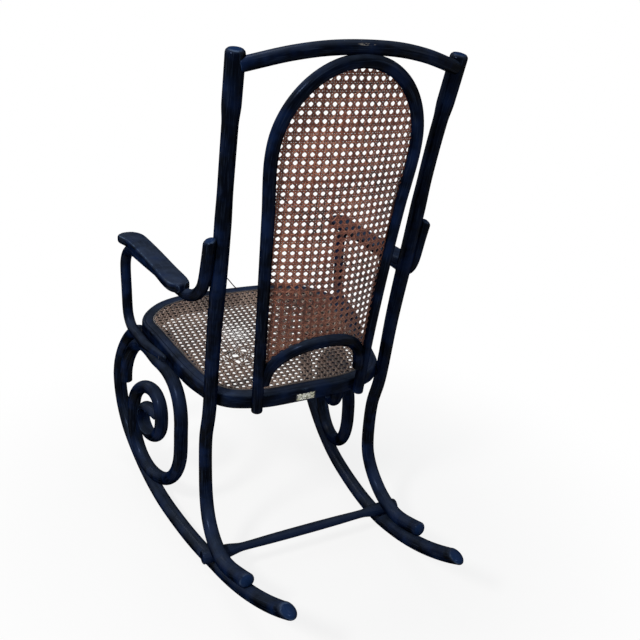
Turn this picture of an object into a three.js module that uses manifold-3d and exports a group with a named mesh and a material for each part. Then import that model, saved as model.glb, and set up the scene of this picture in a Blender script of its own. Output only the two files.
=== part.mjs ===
// Bentwood rocking chair with a cane seat and a cane back, in millimetres.
// +Z is up, the chair faces -Y and the sitter's left is +X.
import * as THREE from "three";
import { mergeVertices } from "three/addons/utils/BufferGeometryUtils.js";
import Module from "manifold-3d";

const wasm = await Module();
wasm.setup();

// Seat frame
const seatWidth = 494;
const seatDepth = 485;
const seatBackHeight = 413.5;
const seatSlope = THREE.MathUtils.degToRad(6);
const ringWidth = 38;
const ringOverhang = 5;
const ringHeight = 38;
const ringBackHeight = 32;
const ringThinDepth = 60;
const ringFullDepth = 150;
const ringEdge = 2;
const beadWidth = 9;
const beadHeight = 5;
const beadDip = 1.2;
const grooveDepth = 2;
const caneInset = 24;
const caneRebate = 3;

// Rods
const rockerDiameter = 32;
const rockerTailDiameter = 30;
const rockerFrontDiameter = 31;
const scrollDiameter = 31;
const postDiameter = 30;
const postShinDiameter = 27.5;
const postFootDiameter = 31;
const postTopDiameter = 32;
const armDiameter = 23;
const hoopDiameter = 23;
const archDiameter = 24;
const crestDiameter = 23.5;
const endChamfer = 2;

// Fits
const clearance = 0.3;
const seatSink = 1.5;
const cutOverrun = 20;

// Rockers
const balanceBack = 183;
const rockerRearRadius = 910;
const rockerRearRun = 511;
const rockerFlatRadius = 1500;
const rockerFlatRun = 60;
const rockerFrontRadius = 465;
const rockerFrontTurn = THREE.MathUtils.degToRad(33);
const rockerToeRadius = 164;
const rockerCurlRadius = 160;
const rockerCurlLap = 46;
const rockerInset = 44.5;
const rockerHalfSpacing = seatWidth / 2 - rockerInset;
const rockerLeanShare = 0.0125;
const rockerToeShare = 0.12;
const rockerTailShare = 0.07;
const trackDepth = 1.3;
const frameTuck = 15;
const tuckFrom = 225;
const tuckTo = 395;

// Side scrolls
const scrollInset = 68.4;
const scrollHalfSpacing = seatWidth / 2 - scrollInset;
const scrollLeanShare = 0.021;
const scrollToeShare = 0.2;
const scrollShoulderBack = 305;
const scrollShoulderRadius = 122;
const scrollHeelRadius = 142;
const scrollToeRadius = 93;
const eyeFrontRadius = 92;
const eyeFrontRise = 36;
const eyeBackRadius = 52;
const eyeBackDrop = 5;
const eyeUnderRadius = 62;
const curlRadius = 31;
const curlRise = 4;
const curlTipRadius = 31;
const curlThickness = 15;
const noseSide = 5;

// Back posts
const postHeight = 1070;
const postInset = 49;
const postHalfSpacing = seatWidth / 2 - postInset;
const postRake = 155;
const postFrontBack = 42;
const postSplay = 6;
const postKneeHeight = 374;
const footBendRadius = 122;
const footReach = 172;
const footSide = 7;
const postKneeRun = 28;
const postShinHeight = 300;
const postShinRun = 23;

// Crest rail
const crestDrop = 23;
const crestHeight = postHeight - crestDrop;
const crestRise = 32;
const crestBow = 30;
const crestSetBack = 8.25;

// Back hoop
const hoopHalfWidth = 137;
const hoopFootHalfWidth = 115;
const hoopTopRise = 11;
const hoopTop = crestHeight + hoopTopRise;
const hoopFootDrop = 30.5;
const hoopFoot = seatBackHeight - hoopFootDrop;
const hoopFootBack = 5;
const hoopCrownRise = 153;
const hoopShoulder = hoopTop - hoopCrownRise;
const hoopLean = 96;
const hoopCrownBow = 8.5;

// Lower back arch
const archInset = 9;
const archHalfWidth = hoopFootHalfWidth - archInset;
const archFootRise = 65;
const archFoot = hoopFoot + archFootRise;
const archRise = 98;
const archTop = archFoot + archRise;
const archBow = 41;

// Arms
const armTopRise = 345.5;
const armTopHeight = seatBackHeight + armTopRise;
const armSetBack = 4.24;
const armTopOut = 23;
const armTopHalfSpacing = postHalfSpacing + armTopOut;
const armSpreadBack = 60;
const armPostHeading = THREE.MathUtils.degToRad(-72);
const armPitch = THREE.MathUtils.degToRad(0.5);
const armInset = 14;
const armHalfSpacing = seatWidth / 2 - armInset;
const armToeShare = 0.098;
const armPostLap = 87;
const armHeelRadius = 70;
const armFrontInset = 92;
const armFront = seatDepth - armFrontInset;
const armKneeRadius = 60;
const armWristRadius = 42;
const armTipRun = 186;
const armTipBack = armFront - armTipRun;
const armTipRise = 3.5;
const armTipTuck = 16;
const armTuckRun = 95;
const armTipWidth = 13;
const armTipHeight = 19;
const padThickness = 19;
const padLip = 11;
const padFrontBack = armFront + padLip;
const padBackBack = 45;
const padInset = 1;
const padHalfSpacing = seatWidth / 2 - padInset;
const padToeShare = 0.02;
const padFlare = 34;
const padEdge = 4;
const padSink = 8;

// Rear stretcher
const stretcherOverhang = 32.5;
const stretcherLength = 2 * (rockerHalfSpacing + stretcherOverhang);
const stretcherEndDiameter = 29;
const stretcherNeckDiameter = 18;
const stretcherMiddleDiameter = 21;
const stretcherEndLength = 56;
const stretcherFlare = 34;
const stretcherBack = 12;

// Cane
const caneThickness = 2.4;
const caneBar = 12;
const caneHole = 24;
const splineWidth = 4;
const splineHeight = 3.2;
const sheetForward = 3;

// Plate
const plateWidth = 44;
const plateHeight = 17;
const plateThickness = 0.8;
const plateSide = 7;
const plateDrop = 2;

// Screws, nails and dowels
const screwHeadDiameter = 8;
const screwHeadHeight = 2.4;
const screwShankDiameter = 4.6;
const screwBite = 11;
const nailHeadDiameter = 3.2;
const nailHeadHeight = 0.9;
const nailShankDiameter = 1.5;
const nailLength = 9;
const nailInset = 4;
const dowelDiameter = 9;
const dowelBite = 8;

const lacquer = { color: 0x0b0f1c, roughness: 0.28, metalness: 0 };
const cane = { color: 0x7d5138, roughness: 0.6, metalness: 0 };
const seatCane = { color: 0x8a6a4c, roughness: 0.6, metalness: 0 };
const splineReed = { color: 0x15161f, roughness: 0.45, metalness: 0 };
const brass = { color: 0xb8a878, roughness: 0.4, metalness: 0.8 };
const steel = { color: 0x20242e, roughness: 0.4, metalness: 0.7 };

// Counts and shares
const rodSides = 10;
const turnedSides = 12;
const rockerSteps = 36;
const crestSteps = 14;
const crestShares = [-1, -0.6, -0.25, 0.25, 0.6, 1];
const hoopSteps = 32;
const hoopLegPieces = 5;
const hoopCrownPieces = 5;
const hoopStraightShare = 0.75;
const archSteps = 14;
const archPieces = 8;
const armSteps = 24;
const armFlatShare = 0.86;
const rockerTailRunShare = 0.25;
const rockerMiddleShare = 0.5;
const hoopSpreadShare = 0.5;
const footSideShare = 1.4;
const stretcherParts = 3;
const searchSteps = 400;
const postUpperShare = 0.33;
const postShinShare = 0.22;
const postFootShare = 0.68;
const dowelShares = [0.82, 0.12];
const archScrewShare = 0.06;
const bowScrewShare = 0.035;
const tipScrewShare = 0.975;
const screwSides = 6;

const rightAngle = Math.PI / 2;
const sideAxis = new THREE.Vector3(1, 0, 0);
const chair = new THREE.Group();

// Solids and their cuts
function solidOf(geometry) {
  const bare = geometry.clone();
  bare.deleteAttribute("normal");
  bare.deleteAttribute("uv");
  const merged = mergeVertices(bare, clearance / 100);
  const made = new wasm.Manifold(
    new wasm.Mesh({
      numProp: 3,
      vertProperties: merged.attributes.position.array,
      triVerts: new Uint32Array(merged.index.array),
    }),
  );
  return made;
}

function geometryOf(solid) {
  const mesh = solid.getMesh();
  const geometry = new THREE.BufferGeometry();
  const places = new Float32Array(mesh.numVert * 3);
  for (let i = 0; i < mesh.numVert; i++) {
    places.set(mesh.vertProperties.subarray(i * mesh.numProp, i * mesh.numProp + 3), i * 3);
  }
  geometry.setAttribute("position", new THREE.BufferAttribute(places, 3));
  geometry.setIndex(new THREE.BufferAttribute(mesh.triVerts, 1));
  geometry.computeVertexNormals();
  return geometry;
}

function cutBy(geometry, cutters) {
  let solid = solidOf(geometry);
  for (const cutter of cutters) {
    solid = solid.subtract(solidOf(cutter));
  }
  const bodies = solid.decompose();
  bodies.sort((a, b) => b.volume() - a.volume());
  return geometryOf(bodies[0]);
}

// Stock: each solid waits with the cutters of what it holds or houses, and is cut once at the end
const stock = new Map();
function addStock(name, geometry, finish, cutters = [], parent = chair) {
  stock.set(name, { geometry, finish, cutters: [...cutters], parent, paired: false });
}

function addPairStock(name, geometry, finish, cutters = []) {
  stock.set(name, { geometry, finish, cutters: [...cutters], parent: chair, paired: true });
}

function addPiece(name, geometry, finish, parent) {
  const piece = new THREE.Mesh(geometry, new THREE.MeshStandardMaterial(finish));
  piece.name = name;
  parent.add(piece);
}

function mirrored(geometry) {
  const copy = geometry.index ? geometry.toNonIndexed() : geometry.clone();
  copy.scale(-1, 1, 1);
  const places = copy.attributes.position;
  for (let i = 0; i < places.count; i += 3) {
    const a = new THREE.Vector3().fromBufferAttribute(places, i + 1);
    const b = new THREE.Vector3().fromBufferAttribute(places, i + 2);
    places.setXYZ(i + 1, b.x, b.y, b.z);
    places.setXYZ(i + 2, a.x, a.y, a.z);
  }
  copy.computeVertexNormals();
  return copy;
}

// Bent rods: rings of points round a curve, each ring square to it, with chamfered flat ends
function sweptRod(curve, side, section, steps, sides) {
  const length = curve.getLength();
  const chamferShare = endChamfer / length;
  const stations = [0, chamferShare];
  for (let i = 1; i < steps; i++) {
    stations.push(i / steps);
  }
  stations.push(1 - chamferShare, 1);
  const places = [];
  const faces = [];
  stations.forEach((t, ring) => {
    const centre = curve.getPointAt(t);
    const along = curve.getTangentAt(t);
    const out = side.clone().addScaledVector(along, -along.dot(side)).normalize();
    const up = new THREE.Vector3().crossVectors(along, out);
    const atEnd = ring === 0 || ring === stations.length - 1;
    for (let j = 0; j < sides; j++) {
      const angle = rightAngle + (2 * Math.PI * j) / sides;
      const [across, rise, radius] = section(t, angle);
      const shrink = atEnd ? (radius - endChamfer) / radius : 1;
      const place = centre.clone().addScaledVector(out, across * shrink);
      place.addScaledVector(up, rise * shrink);
      places.push(place.x, place.y, place.z);
    }
  });
  for (let ring = 0; ring + 1 < stations.length; ring++) {
    for (let j = 0; j < sides; j++) {
      const a = ring * sides + j;
      const b = ring * sides + ((j + 1) % sides);
      faces.push(a, b, b + sides, a, b + sides, a + sides);
    }
  }
  const last = stations.length - 1;
  for (let j = 1; j + 1 < sides; j++) {
    faces.push(0, j + 1, j);
    faces.push(last * sides, last * sides + j, last * sides + j + 1);
  }
  const geometry = new THREE.BufferGeometry();
  geometry.setAttribute("position", new THREE.Float32BufferAttribute(places, 3));
  geometry.setIndex(faces);
  geometry.computeVertexNormals();
  return geometry;
}

// A round section whose radius follows a function of the share of the length
function roundSection(radiusAt, grow = 0) {
  return (t, angle) => {
    const radius = radiusAt(t) + grow;
    return [radius * Math.cos(angle), radius * Math.sin(angle), radius];
  };
}

function smooth(points) {
  return new THREE.CatmullRomCurve3(points, false, "centripetal");
}

function blendLine(a, b, share) {
  return a + (b - a) * share;
}

function blendOf(a, b, share) {
  const s = THREE.MathUtils.clamp(share, 0, 1);
  return a + (b - a) * s * s * (3 - 2 * s);
}

// A path of bends in a side view: each stretch is a radius and a turn, or a straight length.
// Forward (-Y) is heading 0 and up is a quarter turn.
class BendPath {
  constructor(y, z, heading) {
    this.stations = [{ y, z, heading }];
  }
  get end() {
    return this.stations[this.stations.length - 1];
  }
  straight(length, pieces = 1) {
    for (let i = 0; i < pieces; i++) {
      const { y, z, heading } = this.end;
      const step = length / pieces;
      this.stations.push({
        y: y - step * Math.cos(heading),
        z: z + step * Math.sin(heading),
        heading,
      });
    }
    return this;
  }
  bend(radius, turn, pieces) {
    const { y, z, heading } = this.end;
    const way = Math.sign(turn);
    for (let i = 1; i <= pieces; i++) {
      const now = heading + (turn * i) / pieces;
      this.stations.push({
        y: y - way * radius * (Math.sin(now) - Math.sin(heading)),
        z: z + way * radius * (Math.cos(heading) - Math.cos(now)),
        heading: now,
      });
    }
    return this;
  }
}

function besidePath(station, distance) {
  return {
    y: station.y + distance * Math.sin(station.heading),
    z: station.z + distance * Math.cos(station.heading),
    heading: station.heading,
  };
}

// Seat ring in its own sloping frame: the outline is half a table of shares, mirrored
const ringOutlineShares = [
  [0, 0],
  [0.36, 0.002],
  [0.52, 0.02],
  [0.67, 0.052],
  [0.78, 0.11],
  [0.84, 0.2],
  [0.89, 0.32],
  [0.93, 0.466],
  [0.968, 0.633],
  [1, 0.757],
  [0.965, 0.82],
  [0.86, 0.893],
  [0.73, 0.945],
  [0.54, 0.982],
  [0.25, 0.998],
  [0, 1],
];
const ringSteps = 40;
const halfSeat = seatWidth / 2;
const outlineHalf = ringOutlineShares.map(
  ([x, y]) => new THREE.Vector3(x * halfSeat, -y * seatDepth, 0),
);
const outlineOther = outlineHalf
  .slice(1, -1)
  .reverse()
  .map((p) => new THREE.Vector3(-p.x, p.y, 0));
const ringOutline = new THREE.CatmullRomCurve3([...outlineHalf, ...outlineOther], true, "centripetal");

function ringPoint(t, inset) {
  const place = ringOutline.getPointAt(t);
  const along = ringOutline.getTangentAt(t);
  return new THREE.Vector3(place.x + along.y * inset, place.y - along.x * inset, 0);
}

// A closed loop whose section at a depth is a list of [inset, height]
function ringLoop(section, steps) {
  const places = [];
  const faces = [];
  for (let i = 0; i < steps; i++) {
    for (const [inset, height] of section(ringPoint(i / steps, 0).y)) {
      const place = ringPoint(i / steps, inset);
      places.push(place.x, place.y, height);
    }
  }
  const count = section(0).length;
  for (let i = 0; i < steps; i++) {
    for (let j = 0; j < count; j++) {
      const a = i * count + j;
      const b = i * count + ((j + 1) % count);
      const c = ((i + 1) % steps) * count + j;
      const d = ((i + 1) % steps) * count + ((j + 1) % count);
      faces.push(a, b, d, a, d, c);
    }
  }
  const geometry = new THREE.BufferGeometry();
  geometry.setAttribute("position", new THREE.Float32BufferAttribute(places, 3));
  geometry.setIndex(faces);
  geometry.computeVertexNormals();
  return geometry;
}

function outwardFaces(geometry) {
  const solid = geometry.index.array;
  const places = geometry.attributes.position;
  let volume = 0;
  const a = new THREE.Vector3();
  const b = new THREE.Vector3();
  const c = new THREE.Vector3();
  for (let i = 0; i < solid.length; i += 3) {
    a.fromBufferAttribute(places, solid[i]);
    b.fromBufferAttribute(places, solid[i + 1]);
    c.fromBufferAttribute(places, solid[i + 2]);
    volume += a.dot(b.cross(c));
  }
  if (volume < 0) {
    for (let i = 0; i < solid.length; i += 3) {
      const kept = solid[i + 1];
      solid[i + 1] = solid[i + 2];
      solid[i + 2] = kept;
    }
  }
  geometry.computeVertexNormals();
  return geometry;
}

const landHeight = -grooveDepth / 2;
const rebateHeight = landHeight - caneRebate;

function ringHeightAt(y) {
  return blendOf(ringBackHeight, ringHeight, (-y - ringThinDepth) / (ringFullDepth - ringThinDepth));
}

function ringSection(y, grow) {
  const height = ringHeightAt(y);
  return [
    [ringEdge - grow, -height - grow],
    [-grow, -height + ringEdge],
    [-grow, -beadHeight],
    [beadWidth / 4 - grow / 2, -beadDip + grow],
    [beadWidth / 2, grow],
    [beadWidth, -grooveDepth + grow],
    [beadWidth + grooveDepth, landHeight + grow],
    [caneInset, landHeight + grow],
    [caneInset, rebateHeight + grow],
    [ringWidth + grow, rebateHeight + grow],
    [ringWidth + grow, -height - grow],
  ];
}

const seat = new THREE.Group();
seat.position.set(0, ringOverhang, seatBackHeight);
seat.rotation.x = -seatSlope;
seat.updateMatrixWorld(true);
chair.add(seat);
const toSeat = seat.matrixWorld.clone().invert();

function ringSolid(grow) {
  return outwardFaces(ringLoop((y) => ringSection(y, grow), ringSteps));
}
const ringCutter = ringSolid(clearance).applyMatrix4(seat.matrixWorld);

function ringUndersideAt(y) {
  return seatBackHeight - ringHeight / Math.cos(seatSlope) - (y - ringOverhang) * Math.tan(seatSlope);
}

// Rockers: a long rear arc, a tighter front arc, the upsweep and the curl that ends under the seat ring
const rockerRadius = rockerDiameter / 2;
const rockerFrontRodRadius = rockerFrontDiameter / 2;
const rockerLow = rockerRadius - trackDepth;
const rearTurn = Math.asin(rockerRearRun / rockerRearRadius);

const rockerRear = new BendPath(-balanceBack, rockerLow, 2 * rightAngle);
rockerRear.bend(rockerRearRadius, -rearTurn, 12);
const rockerFront = new BendPath(-balanceBack, rockerLow, 0);
const flatTurn = rockerFlatRun / rockerFlatRadius;
rockerFront.bend(rockerFlatRadius, flatTurn, 2);
const frontArcCentre = besidePath(rockerFront.end, rockerFrontRadius);
rockerFront.bend(rockerFrontRadius, rockerFrontTurn - flatTurn, 6);
rockerFront.bend(rockerToeRadius, rightAngle - rockerFrontTurn, 5);
const curlCentreHeight =
  ringUndersideAt(rockerFront.end.y + rockerCurlRadius) -
  (rockerCurlRadius + rockerFrontRodRadius - seatSink) / Math.cos(seatSlope);
const upsweepFrom = rockerFront.stations.length - 1;
rockerFront.straight(curlCentreHeight - rockerFront.end.z);
rockerFront.bend(rockerCurlRadius, rightAngle + seatSlope, 9);
rockerFront.straight(rockerCurlLap);

// The side frames toe out to the front, lean in, and tuck in further under the seat ring
function tuckAt(z) {
  return blendOf(0, frameTuck, (z - tuckFrom) / (tuckTo - tuckFrom));
}

function rockerPlace({ y, z }) {
  const toe = y < 0 ? rockerToeShare : rockerTailShare;
  return new THREE.Vector3(rockerHalfSpacing - toe * y - rockerLeanShare * z - tuckAt(z), y, z);
}
const rockerCurve = smooth([
  ...rockerRear.stations.slice(1).reverse().map(rockerPlace),
  ...rockerFront.stations.map(rockerPlace),
]);

function rockerRadiusAt(t) {
  const tail = blendOf(rockerTailDiameter, rockerDiameter, t / rockerTailRunShare);
  return blendOf(tail, rockerFrontDiameter, t / rockerMiddleShare - 1) / 2;
}
const rockerGrown = sweptRod(
  rockerCurve,
  sideAxis,
  roundSection(rockerRadiusAt, clearance),
  rockerSteps,
  rodSides,
);
const floorCut = new THREE.BoxGeometry(2 * seatWidth, 3 * seatDepth, cutOverrun);
floorCut.translate(0, -balanceBack, -cutOverrun / 2);
const rocker = sweptRod(rockerCurve, sideAxis, roundSection(rockerRadiusAt), rockerSteps, rodSides);
addPairStock("rocker", rocker, lacquer, [floorCut, ringCutter]);

// Side scrolls: up inside the rocker's curl, back under its end, then the large loop and the eye
const scrollRadius = scrollDiameter / 2;
const noseLap = rockerFrontRodRadius + scrollRadius + clearance;
const scroll = new BendPath(0, 0, 0);
scroll.stations.length = 0;
rockerFront.stations.slice(upsweepFrom).forEach((station) => {
  scroll.stations.push(besidePath(station, noseLap));
});
const runToShoulder = (scroll.end.y + scrollShoulderBack) / Math.cos(seatSlope);
scroll.straight(-runToShoulder);
scroll.bend(scrollShoulderRadius, rightAngle - seatSlope, 6);
const loopBottomBack = -scroll.end.y + scrollHeelRadius;
const loopCentreHeight =
  frontArcCentre.z -
  Math.sqrt(
    (rockerFrontRadius - rockerRadius - scrollRadius + seatSink - scrollToeRadius) ** 2 -
      (loopBottomBack + frontArcCentre.y) ** 2,
  );
const loopBottomHeight = loopCentreHeight - scrollToeRadius;
scroll.straight(scroll.end.z - scrollHeelRadius - loopBottomHeight);
scroll.bend(scrollHeelRadius, rightAngle, 7);
scroll.bend(scrollToeRadius, rightAngle, 6);
scroll.straight(eyeFrontRise);
scroll.bend(eyeFrontRadius, rightAngle, 6);
scroll.bend(eyeBackRadius, rightAngle, 5);
scroll.straight(eyeBackDrop);
const eyeBack = scroll.end.y;
scroll.bend(eyeUnderRadius, rightAngle, 5);
scroll.bend(curlRadius, rightAngle, 4);
scroll.straight(curlRise);
scroll.bend(curlTipRadius, rightAngle, 4);
scroll.straight(eyeBack - scroll.end.y - scrollRadius / 2);

function scrollPlace({ y, z }) {
  return new THREE.Vector3(scrollHalfSpacing - scrollToeShare * y - scrollLeanShare * z - tuckAt(z), y, z);
}
const noseCount = rockerFront.stations.length - upsweepFrom;
const scrollCurve = smooth(
  scroll.stations.map((station, i) => {
    if (i >= noseCount) {
      return scrollPlace(station);
    }
    return rockerPlace(station).add(new THREE.Vector3(-blendOf(noseSide, 0, i / noseCount), 0, 0));
  }),
);
const scrollSteps = 50;
const flatStartShare = 0.8;
const flatEndShare = 0.95;

// The inner end is planed flat on the side that faces the eye
function scrollSection(t, angle) {
  const across = scrollRadius * Math.cos(angle);
  const rise = scrollRadius * Math.sin(angle);
  const share = (t - flatStartShare) / (flatEndShare - flatStartShare);
  const limit = blendOf(scrollRadius, curlThickness - scrollRadius, share);
  return [across, Math.min(rise, limit), scrollRadius];
}
const scrollRod = sweptRod(scrollCurve, sideAxis, scrollSection, scrollSteps, rodSides);
addPairStock("side_scroll", scrollRod, lacquer, [rockerGrown]);

// Back posts: a raked upper run, a knee, and a foot that bends back along the top of the rocker
const postRadius = postDiameter / 2;
const postFootRadius = postFootDiameter / 2;
const postShares = [
  [1, 1, 1],
  [0.746, 0.69, 0.25],
  [0.49, 0.44, 0],
  [0.243, 0.19, 0],
  [0, 0, 0],
];
const footLap = rockerRadius + postFootRadius - seatSink;
const footRise = Math.sqrt(footLap * footLap - footSide * footSide);
const rockerRearCentreHeight = rockerLow + rockerRearRadius;
const kneeBack = footBendRadius - postFrontBack - postKneeRun;
const kneeHeight =
  rockerRearCentreHeight -
  Math.sqrt((rockerRearRadius - footRise - footBendRadius) ** 2 - (balanceBack + kneeBack) ** 2);
const footTurn = Math.asin((balanceBack + kneeBack) / (rockerRearRadius - footRise - footBendRadius));
const foot = new BendPath(kneeBack - footBendRadius, kneeHeight, -rightAngle);
foot.bend(footBendRadius, -rightAngle - footTurn, 7);
const footRest = Math.asin((footReach + balanceBack) / (rockerRearRadius - footRise)) - footTurn;
foot.bend(rockerRearRadius - footRise, -footRest, 3);
const postPoints = postShares.map(([rise, back, out]) => {
  const y = -postFrontBack + back * postRake;
  return new THREE.Vector3(postHalfSpacing + out * postSplay, y, blendLine(postKneeHeight, postHeight, rise));
});
postPoints.push(new THREE.Vector3(postHalfSpacing, -postFrontBack - postShinRun, postShinHeight));
foot.stations.forEach((station, i) => {
  const share = i / (foot.stations.length - 1);
  const onRocker = rockerPlace(station).x + footSide;
  const x = blendOf(postHalfSpacing, onRocker, share * footSideShare);
  postPoints.push(new THREE.Vector3(x, station.y, station.z));
});
const postCurve = smooth(postPoints);

// Where the posts' upper run stands at a height, for what is fixed to it
function postBackAt(height) {
  const share = (height - postKneeHeight) / (postHeight - postKneeHeight);
  const row = Math.max(
    1,
    postShares.findIndex(([rise]) => rise <= share),
  );
  const [riseBelow, backBelow] = postShares[row];
  const [riseAbove, backAbove] = postShares[row - 1];
  const back = blendLine(backBelow, backAbove, (share - riseBelow) / (riseAbove - riseBelow));
  return back * postRake - postFrontBack;
}
const postSteps = 22;
function postRadiusAt(t) {
  const upper = blendOf(postTopDiameter, postDiameter, t / postUpperShare);
  const shin = blendOf(upper, postShinDiameter, (t - postUpperShare) / postShinShare);
  return blendOf(shin, postFootDiameter, (t - postFootShare) / postShinShare) / 2;
}
const postGrown = sweptRod(postCurve, sideAxis, roundSection(postRadiusAt, clearance), postSteps, rodSides);

// Rear stretcher: a turned bar on the rockers, in the crook of the feet
const stretcherRadius = stretcherEndDiameter / 2;
const stretcherGap = stretcherRadius - seatSink;
const stretcherZ =
  rockerRearCentreHeight -
  Math.sqrt((rockerRearRadius - rockerRadius - stretcherGap) ** 2 - (balanceBack + stretcherBack) ** 2);
function stretcherProfile(grow) {
  const half = stretcherLength / 2;
  const edge = stretcherEndLength + stretcherFlare;
  const end = stretcherRadius + grow;
  const neck = stretcherNeckDiameter / 2 + grow;
  const middle = stretcherMiddleDiameter / 2 + grow;
  return [
    new THREE.Vector2(0, -half - grow),
    new THREE.Vector2(end - endChamfer, -half - grow),
    new THREE.Vector2(end, endChamfer - half - grow),
    new THREE.Vector2(end, stretcherEndLength - half),
    new THREE.Vector2((end + neck) / 2, (stretcherEndLength + edge) / 2 - half),
    new THREE.Vector2(neck, edge - half),
    new THREE.Vector2(middle, -half / stretcherParts),
    new THREE.Vector2(middle, half / stretcherParts),
    new THREE.Vector2(neck, half - edge),
    new THREE.Vector2((end + neck) / 2, half - (stretcherEndLength + edge) / 2),
    new THREE.Vector2(end, half - stretcherEndLength),
    new THREE.Vector2(end, half - endChamfer + grow),
    new THREE.Vector2(end - endChamfer, half + grow),
    new THREE.Vector2(0, half + grow),
  ];
}
function stretcherSolid(grow) {
  const turned = new THREE.LatheGeometry(stretcherProfile(grow), turnedSides);
  turned.rotateZ(-rightAngle);
  turned.translate(0, stretcherBack, stretcherZ);
  return turned;
}
const stretcherGrown = stretcherSolid(clearance);
const rightRockerGrown = mirrored(rockerGrown);
addStock("rear_stretcher", stretcherSolid(0), lacquer, [rockerGrown, rightRockerGrown]);
const post = sweptRod(postCurve, sideAxis, roundSection(postRadiusAt), postSteps, rodSides);
addPairStock("rear_post", post, lacquer, [rockerGrown, stretcherGrown]);

// Seat ring, notched for the posts
const postInSeat = postGrown.clone().applyMatrix4(toSeat);
addStock("seat_ring", ringSolid(0), lacquer, [postInSeat, mirrored(postInSeat)], seat);

// Crest rail, coped between the posts
const crestBack = postBackAt(crestHeight) + crestSetBack;
const crestPoints = crestShares.map((share) => {
  const arch = 1 - share * share;
  const y = crestBack + crestBow * arch;
  return new THREE.Vector3(share * postHalfSpacing, y, crestHeight + crestRise * arch);
});
const crestCurve = smooth(crestPoints);
const upAxis = new THREE.Vector3(0, 0, 1);
const crestRadius = crestDiameter / 2;
const crestSolid = (grow) =>
  sweptRod(crestCurve, upAxis, roundSection(() => crestRadius, grow), crestSteps, rodSides);
addStock("crest_rail", crestSolid(0), lacquer, [postGrown, mirrored(postGrown)]);

// Back hoop: legs that lean back and spread, and a crown bowed to the rear
const hoopRadius = hoopDiameter / 2;
function hoopBackAt(z) {
  const share = (z - hoopFoot) / (hoopShoulder - hoopFoot);
  return hoopFootBack + hoopLean * (share * hoopStraightShare + share * share * (1 - hoopStraightShare));
}
function bowAt(z) {
  return blendLine(archBow, hoopCrownBow, (z - archTop) / (hoopTop - archTop));
}
function hoopHalfWidthAt(z) {
  const share = THREE.MathUtils.clamp((z - hoopFoot) / (hoopShoulder - hoopFoot), 0, 1);
  const spread = share * blendLine(1, share, hoopSpreadShare);
  return blendLine(hoopFootHalfWidth, hoopHalfWidth, spread);
}
const hoopPoints = [];
for (let i = 0; i < hoopLegPieces; i++) {
  const z = blendLine(hoopFoot, hoopShoulder, i / hoopLegPieces);
  hoopPoints.push(new THREE.Vector3(hoopHalfWidthAt(z), hoopBackAt(z), z));
}
for (let i = 0; i <= hoopCrownPieces; i++) {
  const angle = (rightAngle * i) / hoopCrownPieces;
  const across = Math.cos(angle);
  const z = hoopShoulder + (hoopTop - hoopShoulder) * Math.sin(angle);
  const y = hoopBackAt(z) + bowAt(z) * (1 - across * across);
  hoopPoints.push(new THREE.Vector3(hoopHalfWidth * across, y, z));
}
const hoopOther = hoopPoints
  .slice(0, -1)
  .reverse()
  .map((p) => new THREE.Vector3(-p.x, p.y, p.z));
const hoopCurve = smooth([...hoopPoints, ...hoopOther]);
const backAxis = new THREE.Vector3(0, 1, 0);
const hoopSolid = (grow) =>
  sweptRod(hoopCurve, backAxis, roundSection(() => hoopRadius, grow), hoopSteps, rodSides);
const hoopGrown = hoopSolid(clearance);
addStock("back_hoop", hoopSolid(0), lacquer, [ringCutter, crestSolid(clearance)]);

// Lower back arch, coped between the hoop's legs
const archRadius = archDiameter / 2;
const archPoints = [];
for (let i = 0; i <= archPieces; i++) {
  const angle = (2 * rightAngle * i) / archPieces;
  const across = Math.cos(angle);
  const z = archFoot + (archTop - archFoot) * Math.sin(angle);
  const y = hoopBackAt(z) + archBow * Math.sin(angle) ** 2;
  archPoints.push(new THREE.Vector3(archHalfWidth * across, y, z));
}
const archCurve = smooth(archPoints);
const archSolid = (grow) =>
  sweptRod(archCurve, backAxis, roundSection(() => archRadius, grow), archSteps, rodSides);
const archGrown = archSolid(clearance);
addStock("lower_back_arch", archSolid(0), lacquer, [hoopGrown]);

// Arm bows: down the post, forward under the pad, down and back to the seat ring
const armRadius = armDiameter / 2;
const armTopBack = postBackAt(armTopHeight) + armSetBack;
const arm = new BendPath(armTopBack, armTopHeight, armPostHeading);
arm.straight(armPostLap, 2);
arm.bend(armHeelRadius, armPitch - armPostHeading, 6);
const underPad = arm.end;
arm.straight((underPad.y + armFront - armKneeRadius) / Math.cos(armPitch), 3);
arm.bend(armKneeRadius, -rightAngle - armPitch, 5);
const wristBack = armFront - armWristRadius;
const tipLine = (y) =>
  seatBackHeight - (y - ringOverhang) * Math.tan(seatSlope) - ringHeight / 2 + armTipRise;
arm.straight(arm.end.z - tipLine(-wristBack) - armWristRadius / Math.cos(seatSlope), 2);
arm.bend(armWristRadius, -rightAngle + seatSlope, 5);
arm.straight((-armTipBack - arm.end.y) / Math.cos(seatSlope), 4);
const lastBend = arm.stations.length - 5;

function armPlace(station, i) {
  const near = i > lastBend ? (station.y + armTipBack + armTuckRun) / armTuckRun : 0;
  const spread = (station.y + armSpreadBack) / (armTopBack + armSpreadBack);
  const x = blendOf(armHalfSpacing - armToeShare * station.y, armTopHalfSpacing, spread);
  return new THREE.Vector3(x - blendOf(0, armTipTuck, near), station.y, station.z);
}
const armCurve = smooth(arm.stations.map(armPlace));

function armSection(grow) {
  return (t, angle) => {
    const share = (t - armFlatShare) / (1 - armFlatShare);
    const across = (blendOf(armRadius, armTipWidth / 2, share) + grow) * Math.cos(angle);
    const rise = (blendOf(armRadius, armTipHeight / 2, share) + grow) * Math.sin(angle);
    return [across, rise, armRadius];
  };
}
const armSolid = (grow) => sweptRod(armCurve, sideAxis, armSection(grow), armSteps, rodSides);
addPairStock("arm_bow", armSolid(0), lacquer, [postGrown, ringCutter]);

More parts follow.
